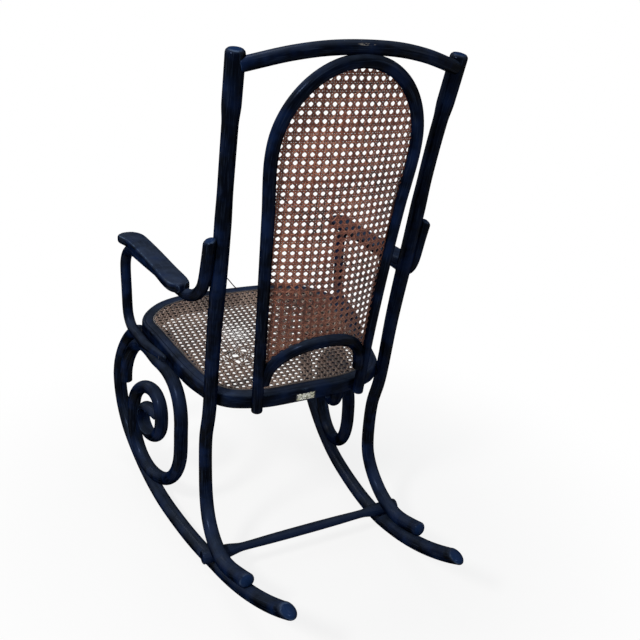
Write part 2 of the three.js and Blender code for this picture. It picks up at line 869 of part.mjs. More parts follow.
// Arm pads: a plank in plan, widening to a rounded front, seated in a shallow groove on the bow
const padRun = padFrontBack - padBackBack;
const padEdgeShares = [
  [0, 0.32, 0.36],
  [0.02, 0.54, 0.56],
  [0.07, 0.66, 0.68],
  [0.3, 0.68, 0.66],
  [0.6, 0.72, 0.66],
  [0.83, 0.71, 0.74],
  [0.9, 0.69, 0.86],
  [0.95, 0.62, 0.99],
  [0.98, 0.48, 0.96],
  [1, 0.3, 0.74],
];
const padPlan = (side) => (row) => {
  const y = padBackBack + padEdge + row[0] * (padRun - 2 * padEdge);
  const half = (side > 0 ? row[2] : row[1]) * padFlare - padEdge;
  return new THREE.Vector2(padHalfSpacing + padToeShare * y + side * half, -y);
};
const padOuter = padEdgeShares.map(padPlan(1));
const padInner = padEdgeShares.map(padPlan(-1)).reverse();
const padBottom = underPad.z + armRadius - padSink;
const pad = new THREE.ExtrudeGeometry(new THREE.Shape([...padOuter, ...padInner]), {
  depth: padThickness - 2 * padEdge,
  bevelSize: padEdge,
  bevelThickness: padEdge,
  bevelSegments: 1,
  steps: 1,
});
pad.translate(0, -underPad.y, padEdge);
pad.rotateX(-armPitch);
pad.translate(0, underPad.y, padBottom);
addPairStock("arm_pad", pad, lacquer, [armSolid(clearance)]);

// Cane sheets: a square lattice inside an outline, with a plain margin round the open cells
const canePitch = caneBar + caneHole;
function insideOutline(outline, x, y) {
  let inside = false;
  for (let i = 0, j = outline.length - 1; i < outline.length; j = i++) {
    const a = outline[i];
    const b = outline[j];
    if (a.y > y !== b.y > y && x < ((b.x - a.x) * (y - a.y)) / (b.y - a.y) + a.x) {
      inside = !inside;
    }
  }
  return inside;
}

function openCells(outline, base, across, along) {
  const cells = new Set();
  for (let i = -across; i < across; i++) {
    for (let j = 0; j < along; j++) {
      const corners = [
        [i, j],
        [i + 1, j],
        [i + 1, j + 1],
        [i, j + 1],
      ];
      if (corners.every(([a, b]) => insideOutline(outline, a * canePitch, base + b * canePitch))) {
        cells.add(`${i},${j}`);
      }
    }
  }
  return cells;
}

// The stepped line round the open cells, as a loop of lattice points
function cellLoop(cells) {
  const next = new Map();
  for (const cell of cells) {
    const [i, j] = cell.split(",").map(Number);
    const sides = [
      [i, j - 1, i, j, i + 1, j],
      [i + 1, j, i + 1, j, i + 1, j + 1],
      [i, j + 1, i + 1, j + 1, i, j + 1],
      [i - 1, j, i, j + 1, i, j],
    ];
    for (const [a, b, x1, y1, x2, y2] of sides) {
      if (!cells.has(`${a},${b}`)) {
        next.set(`${x1},${y1}`, `${x2},${y2}`);
      }
    }
  }
  const start = next.keys().next().value;
  const loop = [start];
  for (let at = next.get(start); at !== start; at = next.get(at)) {
    loop.push(at);
  }
  return loop.map((key) => key.split(",").map(Number));
}

// base is where the first row of cells starts, and place(x, y, depth) sets a point of the flat sheet
// on its real surface
function caneSheet(outline, base, across, along, place) {
  const cells = openCells(outline, base, across, along);
  const points = [];
  const faces = [];
  const known = new Map();
  const pointAt = (x, y) => {
    const key = `${Math.round(x / clearance)},${Math.round(y / clearance)}`;
    if (!known.has(key)) {
      known.set(key, points.length);
      points.push([x, y]);
    }
    return known.get(key);
  };
  const lattice = (i, j) => pointAt(i * canePitch, base + j * canePitch);
  const top = [];
  const walls = [];
  for (const cell of cells) {
    const [i, j] = cell.split(",").map(Number);
    const corners = [
      [i, j],
      [i + 1, j],
      [i + 1, j + 1],
      [i, j + 1],
    ];
    const outer = corners.map(([a, b]) => lattice(a, b));
    const inner = corners.map(([a, b]) => {
      const x = a * canePitch + (a === i ? caneBar / 2 : -caneBar / 2);
      const y = base + b * canePitch + (b === j ? caneBar / 2 : -caneBar / 2);
      return pointAt(x, y);
    });
    for (let k = 0; k < 4; k++) {
      const m = (k + 1) % 4;
      top.push([outer[k], outer[m], inner[m]], [outer[k], inner[m], inner[k]]);
      walls.push([inner[m], inner[k]]);
    }
  }
  const rim = outline.map((p) => pointAt(p.x, p.y));
  const loop = cellLoop(cells);
  const hole = loop.map(([i, j]) => new THREE.Vector2(i * canePitch, base + j * canePitch));
  const margin = THREE.ShapeUtils.triangulateShape(outline, [hole]);
  const marginPoints = [...rim, ...loop.map(([i, j]) => lattice(i, j))];
  for (const [a, b, c] of margin) {
    top.push([marginPoints[a], marginPoints[b], marginPoints[c]]);
  }
  for (let k = 0; k < rim.length; k++) {
    walls.push([rim[k], rim[(k + 1) % rim.length]]);
  }
  const count = points.length;
  for (const [a, b, c] of top) {
    const turn =
      (points[b][0] - points[a][0]) * (points[c][1] - points[a][1]) -
      (points[c][0] - points[a][0]) * (points[b][1] - points[a][1]);
    const [d, e] = turn > 0 ? [b, c] : [c, b];
    faces.push(a, d, e, a + count, e + count, d + count);
  }
  for (const [a, b] of walls) {
    faces.push(a, a + count, b + count, a, b + count, b);
  }
  const places = [];
  for (const depth of [0, caneThickness]) {
    for (const [x, y] of points) {
      const p = place(x, y, depth);
      places.push(p.x, p.y, p.z);
    }
  }
  const geometry = new THREE.BufferGeometry();
  geometry.setAttribute("position", new THREE.Float32BufferAttribute(places, 3));
  geometry.setIndex(faces);
  return outwardFaces(geometry);
}

// Seat sheet in the ring's rebate, and the reed that wedges its edge
const reedInner = caneInset + clearance + splineWidth;
const sheetInset = reedInner + clearance;
const seatRim = [];
for (let i = ringSteps; i > 0; i--) {
  const p = ringPoint(i / ringSteps, sheetInset);
  seatRim.push(new THREE.Vector2(p.x, p.y));
}
const seatBase = -Math.floor((seatDepth - sheetInset) / canePitch) * canePitch;
const seatAcross = Math.ceil(halfSeat / canePitch);
const seatAlong = Math.ceil(seatDepth / canePitch);
const seatFloor = rebateHeight + clearance;
const seatSheet = caneSheet(seatRim, seatBase, seatAcross, seatAlong, (x, y, depth) => {
  return new THREE.Vector3(x, y, seatFloor + caneThickness - depth);
});
addStock("seat_cane_panel", seatSheet, seatCane, [], seat);
const reed = outwardFaces(
  ringLoop(
    () => [
      [caneInset + clearance, seatFloor],
      [caneInset + clearance, seatFloor + splineHeight / 2],
      [caneInset + clearance + splineWidth / 2, seatFloor + splineHeight],
      [reedInner, seatFloor + splineHeight / 2],
      [reedInner, seatFloor],
    ],
    ringSteps,
  ),
);
addStock("seat_cane_spline", reed, splineReed, [], seat);

// Back sheet: hollowed to the sitter's back, trimmed by the hoop and the arch
const sheetReach = hoopHalfWidth - hoopRadius / 2;
const backRim = [];
const rimPieces = 10;
for (let i = 0; i <= rimPieces; i++) {
  const z = blendLine(hoopShoulder, archFoot, i / rimPieces);
  backRim.push(new THREE.Vector2(-hoopHalfWidthAt(z) + hoopRadius / 2, z));
}
for (let i = 1; i < rimPieces; i++) {
  const angle = 2 * rightAngle * (1 - i / rimPieces);
  const rise = (archTop - archFoot + archRadius / 2) * Math.sin(angle);
  backRim.push(new THREE.Vector2(archHalfWidth * Math.cos(angle), archFoot + rise));
}
for (let i = 0; i <= rimPieces; i++) {
  const z = blendLine(archFoot, hoopShoulder, i / rimPieces);
  backRim.push(new THREE.Vector2(hoopHalfWidthAt(z) - hoopRadius / 2, z));
}
for (let i = 1; i < rimPieces; i++) {
  const angle = (2 * rightAngle * i) / rimPieces;
  const rise = (hoopTop - hoopShoulder - hoopRadius / 2) * Math.sin(angle);
  backRim.push(new THREE.Vector2(sheetReach * Math.cos(angle), hoopShoulder + rise));
}
const backBase = archTop - canePitch * Math.floor((archTop - archFoot) / canePitch);
const backAcross = Math.ceil(hoopHalfWidth / canePitch);
const backAlong = Math.ceil((hoopTop - archFoot) / canePitch);
const backSheet = caneSheet(backRim, backBase, backAcross, backAlong, (x, z, depth) => {
  const share = x / hoopHalfWidthAt(z);
  const y = hoopBackAt(z) + bowAt(z) * (1 - share * share) - sheetForward - depth;
  return new THREE.Vector3(x, y, z);
});
addStock("back_cane_panel", backSheet, cane, [hoopGrown, archGrown]);

// Fasteners: a turned profile driven along a direction through its hosts
function fastener(headDiameter, headHeight, shankDiameter, length, grow) {
  const head = headDiameter / 2 + grow;
  const shank = shankDiameter / 2 + grow;
  const profile = [
    new THREE.Vector2(0, -length - grow),
    new THREE.Vector2(shank, -length - grow),
    new THREE.Vector2(shank, -grow),
    new THREE.Vector2(head, -grow),
    new THREE.Vector2(head, headHeight + grow),
    new THREE.Vector2(0, headHeight + grow),
  ];
  return new THREE.LatheGeometry(profile, screwSides);
}

function drive(geometry, from, to) {
  const turn = new THREE.Quaternion().setFromUnitVectors(
    new THREE.Vector3(0, -1, 0),
    to.clone().sub(from).normalize(),
  );
  geometry.applyQuaternion(turn);
  geometry.translate(from.x, from.y, from.z);
  return geometry;
}

function drillHosts(hosts, cutter) {
  for (const host of hosts) {
    const piece = stock.get(host);
    const local = piece.parent === seat ? cutter.clone().applyMatrix4(toSeat) : cutter;
    piece.cutters.push(local);
    if (!piece.paired) {
      piece.cutters.push(mirrored(local));
    }
  }
}

// A pair of screws from a head seat to a tip, both points on the left side
function addScrews(name, from, to, hosts) {
  const length = from.distanceTo(to);
  const make = (grow) => fastener(screwHeadDiameter, screwHeadHeight, screwShankDiameter, length, grow);
  drillHosts(hosts, drive(make(clearance), from, to));
  addPairStock(name, drive(make(0), from, to), steel);
}

// The share of a curve's length at which it passes a height or a depth, found from its start
function shareWhere(curve, test) {
  for (let i = 0; i <= searchSteps; i++) {
    if (test(curve.getPointAt(i / searchSteps))) {
      return i / searchSteps;
    }
  }
  return 1;
}
const headSink = screwHeadHeight / 2;

// Screws from inside the seat ring to the posts and to the hoop's feet
function ringScrews(name, halfSpacing, reach, host) {
  const t = shareWhere(ringOutline, (p) => p.x > halfSpacing);
  const from = ringPoint(t, ringWidth - headSink);
  const to = ringPoint(t, -reach);
  from.z = rebateHeight / 2 - ringBackHeight / 2;
  to.z = from.z;
  from.applyMatrix4(seat.matrixWorld);
  to.applyMatrix4(seat.matrixWorld);
  addScrews(name, from, to, ["seat_ring", host]);
}
ringScrews("post_screw", postHalfSpacing - postRadius, hoopRadius / 2, "rear_post");
ringScrews("hoop_screw", hoopFootHalfWidth, hoopRadius, "back_hoop");

// Screws up through the rocker, square to its rear arc, into the foot and into the stretcher
function rearArcPlace(back, inward, side) {
  const angle = Math.asin((back + balanceBack) / rockerRearRadius);
  const reach = rockerRearRadius - inward;
  const station = {
    y: reach * Math.sin(angle) - balanceBack,
    z: rockerRearCentreHeight - reach * Math.cos(angle),
  };
  const place = rockerPlace(station);
  place.x += side;
  return place;
}
const underRocker = headSink - rockerRadius;
const footScrewBack = footReach - 2 * postFootDiameter;
const footScrewHead = rearArcPlace(footScrewBack, underRocker, 0);
const footScrewTip = rearArcPlace(footScrewBack, footRise, footSide);
addScrews("foot_screw", footScrewHead, footScrewTip, ["rocker", "rear_post"]);
const stretcherScrewHead = rearArcPlace(stretcherBack, underRocker, 0);
const stretcherScrewTip = rearArcPlace(stretcherBack, rockerRadius + stretcherRadius, 0);
addScrews("stretcher_screw", stretcherScrewHead, stretcherScrewTip, ["rocker", "rear_stretcher"]);

// Screws up through the rocker into the bottom of the scroll's loop
const loopWay = new THREE.Vector2(
  -loopBottomBack - frontArcCentre.y,
  loopCentreHeight - frontArcCentre.z,
).normalize();
function loopPlace(reach, placeOf) {
  return placeOf({
    y: frontArcCentre.y + loopWay.x * reach,
    z: frontArcCentre.z + loopWay.y * reach,
  });
}
const scrollScrewHead = loopPlace(rockerFrontRadius - underRocker, rockerPlace);
const scrollScrewTip = loopPlace(rockerFrontRadius - rockerRadius - scrollRadius, scrollPlace);
addScrews("scroll_screw", scrollScrewHead, scrollScrewTip, ["rocker", "side_scroll"]);

// Long screws up through the scroll and the rocker's curl into the seat ring
const curlEnd = new BendPath(rockerFront.end.y, rockerFront.end.z, rockerFront.end.heading);
curlEnd.straight(-rockerCurlLap / 2);
const curlHead = rockerPlace(besidePath(curlEnd.end, noseLap + scrollRadius - headSink));
const curlTip = rockerPlace(besidePath(curlEnd.end, -rockerFrontRodRadius - screwBite));
addScrews("curl_screw", curlHead, curlTip, ["side_scroll", "rocker", "seat_ring"]);

// Screws from the posts into the crest rail, and from the arch into the hoop
const crestSeat = new THREE.Vector3(postHalfSpacing + postSplay, crestBack, crestHeight);
const alongX = (place, x) => new THREE.Vector3(x, place.y, place.z);
const crestScrewHead = alongX(crestSeat, crestSeat.x + postTopDiameter / 2 - headSink);
const crestScrewTip = alongX(crestSeat, crestSeat.x - postTopDiameter / 2 - screwBite);
addScrews("crest_screw", crestScrewHead, crestScrewTip, ["rear_post", "crest_rail"]);
const archSeat = archCurve.getPointAt(archScrewShare);
const archScrewHead = alongX(archSeat, archSeat.x - archRadius + headSink);
const archScrewTip = alongX(archSeat, archSeat.x + archRadius + screwBite / 2);
addScrews("arch_screw", archScrewHead, archScrewTip, ["lower_back_arch", "back_hoop"]);

// Screws from the arm bows into the posts and into the seat ring
const bowSeat = armCurve.getPointAt(bowScrewShare);
const bowScrewHead = alongX(bowSeat, bowSeat.x + armRadius - headSink);
const bowScrewTip = alongX(bowSeat, bowSeat.x - armRadius - screwBite);
addScrews("bow_screw", bowScrewHead, bowScrewTip, ["arm_bow", "rear_post"]);
const tipSeat = armCurve.getPointAt(tipScrewShare);
const tipScrewHead = alongX(tipSeat, tipSeat.x + armTipWidth / 2 - headSink);
const tipScrewTip = alongX(tipSeat, tipSeat.x - armTipWidth / 2 - screwBite);
addScrews("tip_screw", tipScrewHead, tipScrewTip, ["arm_bow", "seat_ring"]);

// Dowels down through the pads into the bows
const padTop = (y) => padBottom + padThickness + (underPad.y - y) * Math.tan(armPitch);
["front", "rear"].forEach((end, i) => {
  const y = -padBackBack - dowelShares[i] * padRun;
  const x = armHalfSpacing - armToeShare * y;
  const length = padThickness + dowelBite;
  const make = (grow) => {
    const dowel = new THREE.CylinderGeometry(
      dowelDiameter / 2 + grow,
      dowelDiameter / 2 + grow,
      length + 2 * grow,
      screwSides,
    );
    dowel.rotateX(rightAngle);
    dowel.translate(x, y, padTop(y) - length / 2 + clearance);
    return dowel;
  };
  drillHosts(["arm_pad", "arm_bow"], make(clearance));
  addPairStock("pad_dowel_" + end, make(0), lacquer);
});

// Bare plate on the ring's rear face, with its two nails
const plateHigh = -ringBackHeight / 2 - plateDrop;
const plateBack = 2 * clearance + plateThickness / 2;
const plate = new THREE.BoxGeometry(plateWidth, plateThickness, plateHeight);
plate.translate(plateSide, plateBack, plateHigh);
addStock("blank_plate", plate, brass, [], seat);
for (const side of [-1, 1]) {
  const nailSide = plateSide + side * (plateWidth / 2 - nailInset);
  const from = new THREE.Vector3(nailSide, plateBack + plateThickness, plateHigh);
  const to = from.clone().setY(from.y - nailLength);
  const make = (grow) =>
    drive(fastener(nailHeadDiameter, nailHeadHeight, nailShankDiameter, nailLength, grow), from, to);
  stock.get("blank_plate").cutters.push(make(clearance));
  stock.get("seat_ring").cutters.push(make(clearance));
  addStock(side > 0 ? "left_plate_nail" : "right_plate_nail", make(0), brass, [], seat);
}

// Cut every piece of the stock and place it
for (const [name, piece] of stock) {
  const geometry = cutBy(piece.geometry, piece.cutters);
  if (piece.paired) {
    addPiece("left_" + name, geometry, piece.finish, piece.parent);
    addPiece("right_" + name, mirrored(geometry), piece.finish, piece.parent);
  } else {
    addPiece(name, geometry, piece.finish, piece.parent);
  }
}

// The part's origin is the middle of its footprint, on the floor
chair.updateMatrixWorld(true);
const bounds = new THREE.Box3().setFromObject(chair, true);
const middle = bounds.getCenter(new THREE.Vector3());
chair.position.set(-middle.x, -middle.y, -bounds.min.z);

const root = new THREE.Group();
root.add(chair);
export default root;
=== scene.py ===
import math
import bpy
import numpy as np
from mathutils import Matrix, Vector


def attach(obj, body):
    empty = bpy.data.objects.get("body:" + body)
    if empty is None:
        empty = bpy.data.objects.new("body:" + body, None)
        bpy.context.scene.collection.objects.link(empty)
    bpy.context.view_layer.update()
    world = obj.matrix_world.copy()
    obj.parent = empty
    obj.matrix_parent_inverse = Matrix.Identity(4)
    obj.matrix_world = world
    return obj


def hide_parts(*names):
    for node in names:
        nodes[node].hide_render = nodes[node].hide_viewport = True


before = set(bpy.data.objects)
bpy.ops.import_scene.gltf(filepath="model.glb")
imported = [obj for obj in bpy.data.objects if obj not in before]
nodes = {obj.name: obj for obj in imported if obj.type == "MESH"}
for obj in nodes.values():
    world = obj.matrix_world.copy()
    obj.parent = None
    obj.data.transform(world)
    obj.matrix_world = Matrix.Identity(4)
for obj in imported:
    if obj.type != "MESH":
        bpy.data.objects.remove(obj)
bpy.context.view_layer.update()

# Sizes are in millimetres from the seat ring's rear; root_shift and 1/1000 bring them to the frame.
root_shift = np.array([0.0, 116.34, 0.0])
quarter = math.pi / 2
side_axis, back_axis, up_axis = np.eye(3)
seed = np.random.default_rng(1880)


def add_object(name, data):
    thing = bpy.data.objects.new(name, data)
    bpy.context.scene.collection.objects.link(thing)
    return thing


# Camera: the place and the turn of the photograph's
camera_data = bpy.data.cameras.new("photo_camera")
camera_data.lens = 42.75
camera_data.sensor_width = 36
camera = add_object("photo_camera", camera_data)
camera_right = Vector((-0.8934, 0.4468, 0.0470))
camera_up = Vector((-0.1312, -0.3594, 0.9239))
camera_back = camera_right.cross(camera_up)
turn = Matrix((camera_right, camera_up, camera_back)).transposed().to_4x4()
camera.matrix_world = Matrix.Translation((0.629, 1.3523, 1.1315)) @ turn
bpy.context.scene.camera = camera
bpy.context.scene.view_settings.view_transform = "Standard"


def columns(*values):
    """Values side by side, as the last axis, spread to one shape."""
    return np.stack(np.broadcast_arrays(*values), axis=-1)


# Paths of bends in a side view: rows of back, height and heading; heading 0 is forward (-Y)
def path_start(back, height, heading):
    """One row: the place and heading that a bent path sets out from."""
    return np.array([[back, height, heading]], dtype=float)


def straight(path, length, pieces=1):
    """Equal steps along the last heading: back falls by the cosine, height rises by the sine."""
    back, height, heading = path[-1]
    step = length * np.arange(1, pieces + 1) / pieces
    more = columns(back - step * math.cos(heading), height + step * math.sin(heading), heading)
    return np.vstack([path, more])


def bend(path, radius, turn, pieces):
    """Points of a circular arc: the heading grows evenly and the place follows its sine and cosine."""
    back, height, heading = path[-1]
    now = heading + turn * np.arange(1, pieces + 1) / pieces
    reach = math.copysign(radius, turn)
    back = back - reach * (np.sin(now) - math.sin(heading))
    height = height + reach * (math.cos(heading) - np.cos(now))
    return np.vstack([path, columns(back, height, now)])


def follow(path, *steps):
    """The path led on: a step of one number is a straight length, of three a bend."""
    for step in steps:
        path = bend(path, *step) if len(step) == 3 else straight(path, *step)
    return path


def beside(path, distance):
    """The path moved square to its heading by a distance."""
    back = path[:, 0] + distance * np.sin(path[:, 2])
    height = path[:, 1] + distance * np.cos(path[:, 2])
    return columns(back, height, path[:, 2])


def ease(a, b, share):
    """From a to b along s*s*(3-2s), flat at both ends."""
    s = np.clip(share, 0.0, 1.0)
    return a + (b - a) * s * s * (3.0 - 2.0 * s)


def line(a, b, share):
    return a + (b - a) * share


def fine_curve(points, closed=False):
    """Centripetal Catmull-Rom: cubic Hermite spans whose slopes come from square-root chord gaps."""
    p = np.asarray(points, dtype=float)
    if closed:
        q = np.vstack([p[-1:], p, p[:2]])
    else:
        q = np.vstack([2 * p[0] - p[1], p, 2 * p[-1] - p[-2]])
    a, b, c, d = q[:-3], q[1:-2], q[2:-1], q[3:]
    g0, g1, g2 = (np.linalg.norm(gap, axis=1)[:, None] ** 0.5 for gap in (b - a, c - b, d - c))
    m1 = ((b - a) / g0 - (c - a) / (g0 + g1) + (c - b) / g1) * g1
    m2 = ((c - b) / g1 - (d - b) / (g1 + g2) + (d - c) / g2) * g1
    t = np.linspace(0.0, 1.0, 25)[None, :-1, None]
    b, c, m1, m2 = (v[:, None] for v in (b, c, m1, m2))
    spans = (
        (2 * t**3 - 3 * t**2 + 1) * b
        + (t**3 - 2 * t**2 + t) * m1
        + (3 * t**2 - 2 * t**3) * c
        + (t**3 - t**2) * m2
    )
    fine = np.vstack([spans.reshape(-1, 3), p[:1] if closed else p[-1:]])
    gaps = np.linalg.norm(np.diff(fine, axis=0), axis=1)
    return fine, np.concatenate([[0.0], np.cumsum(gaps)])


def places_at(fine, lengths, stations):
    """Places at given lengths along a fine line, by linear steps between its points."""
    return columns(*(np.interp(stations, lengths, fine[:, k]) for k in range(3)))


def unit(vectors):
    return vectors / np.linalg.norm(vectors, axis=-1, keepdims=True)


# Shapes: verts, faces, a uv for each corner of each face, and the marks of the finish
def band(first, second):
    """Quads between two equal rows of point numbers, closed round."""
    ahead = [np.roll(row, -1, axis=-1) for row in (first, second)]
    return columns(first, *ahead, second).reshape(-1, 4)


def tube_faces(count, sides):
    """Faces of a closed tube: quads between its rows, and a fan from each end row to its middle."""
    ids = np.arange(count * sides).reshape(count, sides)
    start = columns(count * sides, np.roll(ids[0], -1), ids[0])
    end = columns(count * sides + 1, ids[-1], np.roll(ids[-1], -1))
    return [band(ids[:-1], ids[1:]), start, end]


def grid_uv(u, v):
    """The corners of each quad of a tube, in metres round it and along it."""
    u, v = columns(u[:-1], u[1:], u[1:], u[:-1]), columns(v[:-1], v[:-1], v[1:], v[1:])
    return columns(u, v[:, None]).reshape(-1, 4, 2)


def metres_along(grid, axis):
    """Metres run along one way of a closed grid of places, averaged over the other way."""
    gaps = np.linalg.norm(np.roll(grid, -1, axis=axis) - grid, axis=-1).mean(axis=1 - axis)
    return np.concatenate([[0.0], np.cumsum(gaps)]) / 1000


def tube_shape(grid, u, v, marks, end_at):
    """A closed tube over a grid of places, one row after another along it."""
    count, sides = grid.shape[:2]
    return {
        "verts": np.vstack([grid.reshape(-1, 3), grid[[0, -1]].mean(axis=1)]),
        "faces": tube_faces(count, sides),
        "uvs": [grid_uv(u, v), np.zeros((sides, 3, 2)), np.full((sides, 3, 2), end_at)],
        "marks": np.concatenate([marks.ravel(), [0.0, 0.0]]),
    }


def loop_shape(grid):
    """A ring over a grid of places: quads between each row and the next, round both ways."""
    ids = np.arange(grid.shape[0] * grid.shape[1]).reshape(grid.shape[:2])
    return {
        "verts": grid.reshape(-1, 3),
        "faces": [band(ids, np.roll(ids, -1, axis=0))],
        "uvs": [grid_uv(metres_along(grid, 1), metres_along(grid, 0))],
        "marks": np.zeros(ids.size),
    }


def rod(points, side, section, sides=28, spacing=6.0, edges=(2.2, 2.2), slants=((0, 0), (0, 0))):
    """A closed section carried along a curve, square to it, its ends rounded over an edge radius.

    section(t, angle) gives across, rise and radius; a point is centre + out*across + up*rise, where
    out is the side axis made square to the curve and up is their cross product. A slant is what an
    end is cut back, along the curve, for each millimetre across and for each millimetre up.
    """
    fine, lengths = fine_curve(points)
    total = lengths[-1]
    # Six rows at each end: two that close it, and four that round its edge
    rounding = np.radians([90.0, 60.0, 30.0, 0.0])
    over = np.concatenate([[0, 0], 1 - np.sin(rounding)])
    under = np.concatenate([[1, 1], 1 - np.cos(rounding)])
    steps = max(4, round(total / spacing))
    inner = np.linspace(edges[0], total - edges[1], steps + 1)[1:-1]
    stations = np.concatenate([edges[0] * over, inner, total - edges[1] * over[::-1]])
    count = len(stations)
    shrink = np.zeros(count)
    shrink[:6] = edges[0] * under
    shrink[-6:] = edges[1] * under[::-1]
    scale = np.ones(count)
    scale[[0, -1]] = 0.45
    scale[[1, -2]] = 0.8
    nearby = 1.5
    ahead = places_at(fine, lengths, np.minimum(stations + nearby, total))
    behind = places_at(fine, lengths, np.maximum(stations - nearby, 0))
    along = unit(ahead - behind)
    out = unit(side - (along @ side)[:, None] * along)
    up = np.cross(along, out)
    angle = quarter + 2 * math.pi * np.arange(sides) / sides
    across, rise, radius = section((stations / total)[:, None], angle[None, :])
    factor = scale[:, None] * (radius - shrink[:, None]) / radius
    grid = places_at(fine, lengths, stations)[:, None] + out[:, None] * (across * factor)[..., None]
    grid = grid + up[:, None] * (rise * factor)[..., None]
    slant_fade = 60
    for cuts, distance, sign in ((slants[0], stations, 1.0), (slants[1], total - stations, -1.0)):
        fade = ease(1, 0, distance / slant_fade)[:, None]
        cut = cuts[0] * (across + radius) / 2 + cuts[1] * (rise + radius) / 2
        grid = grid + sign * along[:, None] * (np.maximum(cut, 0) * fade * factor)[..., None]
    girth = 2 * math.pi * np.mean(radius) / 1000
    # Marks round each end, which the lacquer lightens: worn ends with a painted highlight.
    mark = np.exp(-((np.minimum(stations, total - stations) / 3.0) ** 2)) * 0.7
    mark[[0, -1]] = 0.0
    mark[[1, -2]] = 0.35
    # cap marks the end faces, which the lacquer paints lighter blue as a painted sky reflection
    cap = np.zeros(count)
    cap[[0, 1, -2, -1]] = 1.0
    cap[[2, -3]] = 0.7
    u, v = np.arange(sides + 1) * girth / sides, stations / 1000
    shape = tube_shape(grid, u, v, np.repeat(mark, sides), v[-1])
    shape["caps"] = np.concatenate([np.repeat(cap, sides), [1.0, 1.0]])
    shape["shares"] = stations / total
    return shape


def turned_shape(profile, start, way, sides=24):
    """A turned shape: each [reach, radius] of the profile is a circle round the axis."""
    profile = np.asarray(profile, dtype=float)
    way = unit(way)
    helper = up_axis if abs(way[2]) < 0.8 else back_axis
    out = unit(helper - (helper @ way) * way)
    third = np.cross(way, out)
    angle = 2 * math.pi * np.arange(sides) / sides
    circle = np.cos(angle)[:, None] * out + np.sin(angle)[:, None] * third
    reach, radius = profile[1:-1, 0, None, None], profile[1:-1, 1, None, None]
    grid = start + reach * way + radius * circle
    verts = np.vstack([grid.reshape(-1, 3), start + profile[[0, -1], :1] * way])
    flat = radius * columns(np.cos(angle), np.sin(angle))
    flat = np.vstack([flat.reshape(-1, 2), np.zeros((2, 2))]) / 1000
    faces = tube_faces(*grid.shape[:2])
    uvs = [flat[face] for face in faces]
    return {"verts": verts, "faces": faces, "uvs": uvs, "marks": np.zeros(len(verts))}


def join_shapes(shapes):
    """Several shapes as one: their points are stacked and their faces point further down the list."""
    bases = np.cumsum([0] + [len(shape["verts"]) for shape in shapes])
    return {
        "verts": np.vstack([shape["verts"] for shape in shapes]),
        "faces": [face + base for shape, base in zip(shapes, bases) for face in shape["faces"]],
        "uvs": [uv for shape in shapes for uv in shape["uvs"]],
        "marks": np.concatenate([shape["marks"] for shape in shapes]),
    }


def put(name, shape, finish, slot, *replaced, mirror=False):
    """Makes the mesh of a shape, its faces turned outwards, and lets it stand for its CAD nodes."""
    verts = shape["verts"] * ([-1.0, 1.0, 1.0] if mirror else [1.0, 1.0, 1.0])
    faces, uvs = shape["faces"], shape["uvs"]
    volume = 0.0
    for face in faces:
        for k in range(1, face.shape[1] - 1):
            a, b, c = verts[face[:, 0]], verts[face[:, k]], verts[face[:, k + 1]]
            volume += np.sum(a * np.cross(b, c))
    if volume < 0:
        faces = [face[:, ::-1] for face in faces]
        uvs = [uv[:, ::-1] for uv in uvs]
    mesh = bpy.data.meshes.new(name)
    places = (verts + root_shift) / 1000.0
    mesh.vertices.add(len(places))
    mesh.vertices.foreach_set("co", places.astype(np.float32).ravel())
    sizes = np.concatenate([np.full(len(face), face.shape[1]) for face in faces]).astype(np.int32)
    corners = np.concatenate([face.ravel() for face in faces]).astype(np.int32)
    mesh.loops.add(len(corners))
    mesh.loops.foreach_set("vertex_index", corners)
    mesh.polygons.add(len(sizes))
    mesh.polygons.foreach_set("loop_start", (np.cumsum(sizes) - sizes).astype(np.int32))
    mesh.polygons.foreach_set("loop_total", sizes)
    mesh.update(calc_edges=True)
    mesh.polygons.foreach_set("use_smooth", np.ones(len(sizes), dtype=bool))
    grain = np.concatenate([uv.ravel() for uv in uvs]).astype(np.float32)
    mesh.uv_layers.new(name="grain").data.foreach_set("uv", grain)
    for label in ("mark", "cap"):
        values = shape.get(label + "s", np.zeros(len(verts)))
        mesh.attributes.new(label, "FLOAT", "POINT").data.foreach_set("value", values.astype(np.float32))
    mesh.materials.append(finish)
    mesh.validate()
    piece = add_object(name, mesh)
    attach(piece, "root")
    if replaced:
        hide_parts(*replaced)


def put_pair(name, shape, finish, node):
    """The left piece and its mirror image on the right."""
    put("left_" + name, shape, finish, "lacquer", "left_" + node)
    put("right_" + name, shape, finish, "lacquer", "right_" + node, mirror=True)


# Helpers that add one node and give its output; a value is a number, a tuple or another output
def link_or_set(tree, socket, value):
    if hasattr(value, "links"):
        tree.links.new(value, socket)
    else:
        socket.default_value = value


def math_node(tree, operation, *values, vector=False, clamp=False):
    node = tree.nodes.new("ShaderNodeVectorMath" if vector else "ShaderNodeMath")
    node.operation = operation
    if clamp:
        node.use_clamp = True
    for socket, value in zip(node.inputs, values):
        link_or_set(tree, socket, value)
    return node.outputs["Value" if operation == "LENGTH" else 0]


def noise_node(tree, vector, scale, detail=4.0, roughness=0.55):
    node = tree.nodes.new("ShaderNodeTexNoise")
    for label, value in (("Vector", vector), ("Scale", scale), ("Detail", detail), ("Roughness", roughness)):
        link_or_set(tree, node.inputs[label], value)
    return node.outputs["Fac"]


def range_node(tree, value, low, high, out_low=0.0, out_high=1.0):
    node = tree.nodes.new("ShaderNodeMapRange")
    node.interpolation_type = "SMOOTHSTEP"
    for socket, number in zip(node.inputs, (value, low, high, out_low, out_high)):
        link_or_set(tree, socket, number)
    return node.outputs["Result"]


def mix_colour(tree, factor, first, second):
    node = tree.nodes.new("ShaderNodeMix")
    node.data_type = "RGBA"
    colour_sockets = ((0, factor), (6, first), (7, second))
    for index, value in colour_sockets:
        link_or_set(tree, node.inputs[index], (*value, 1.0) if isinstance(value, tuple) else value)
    return node.outputs[2]


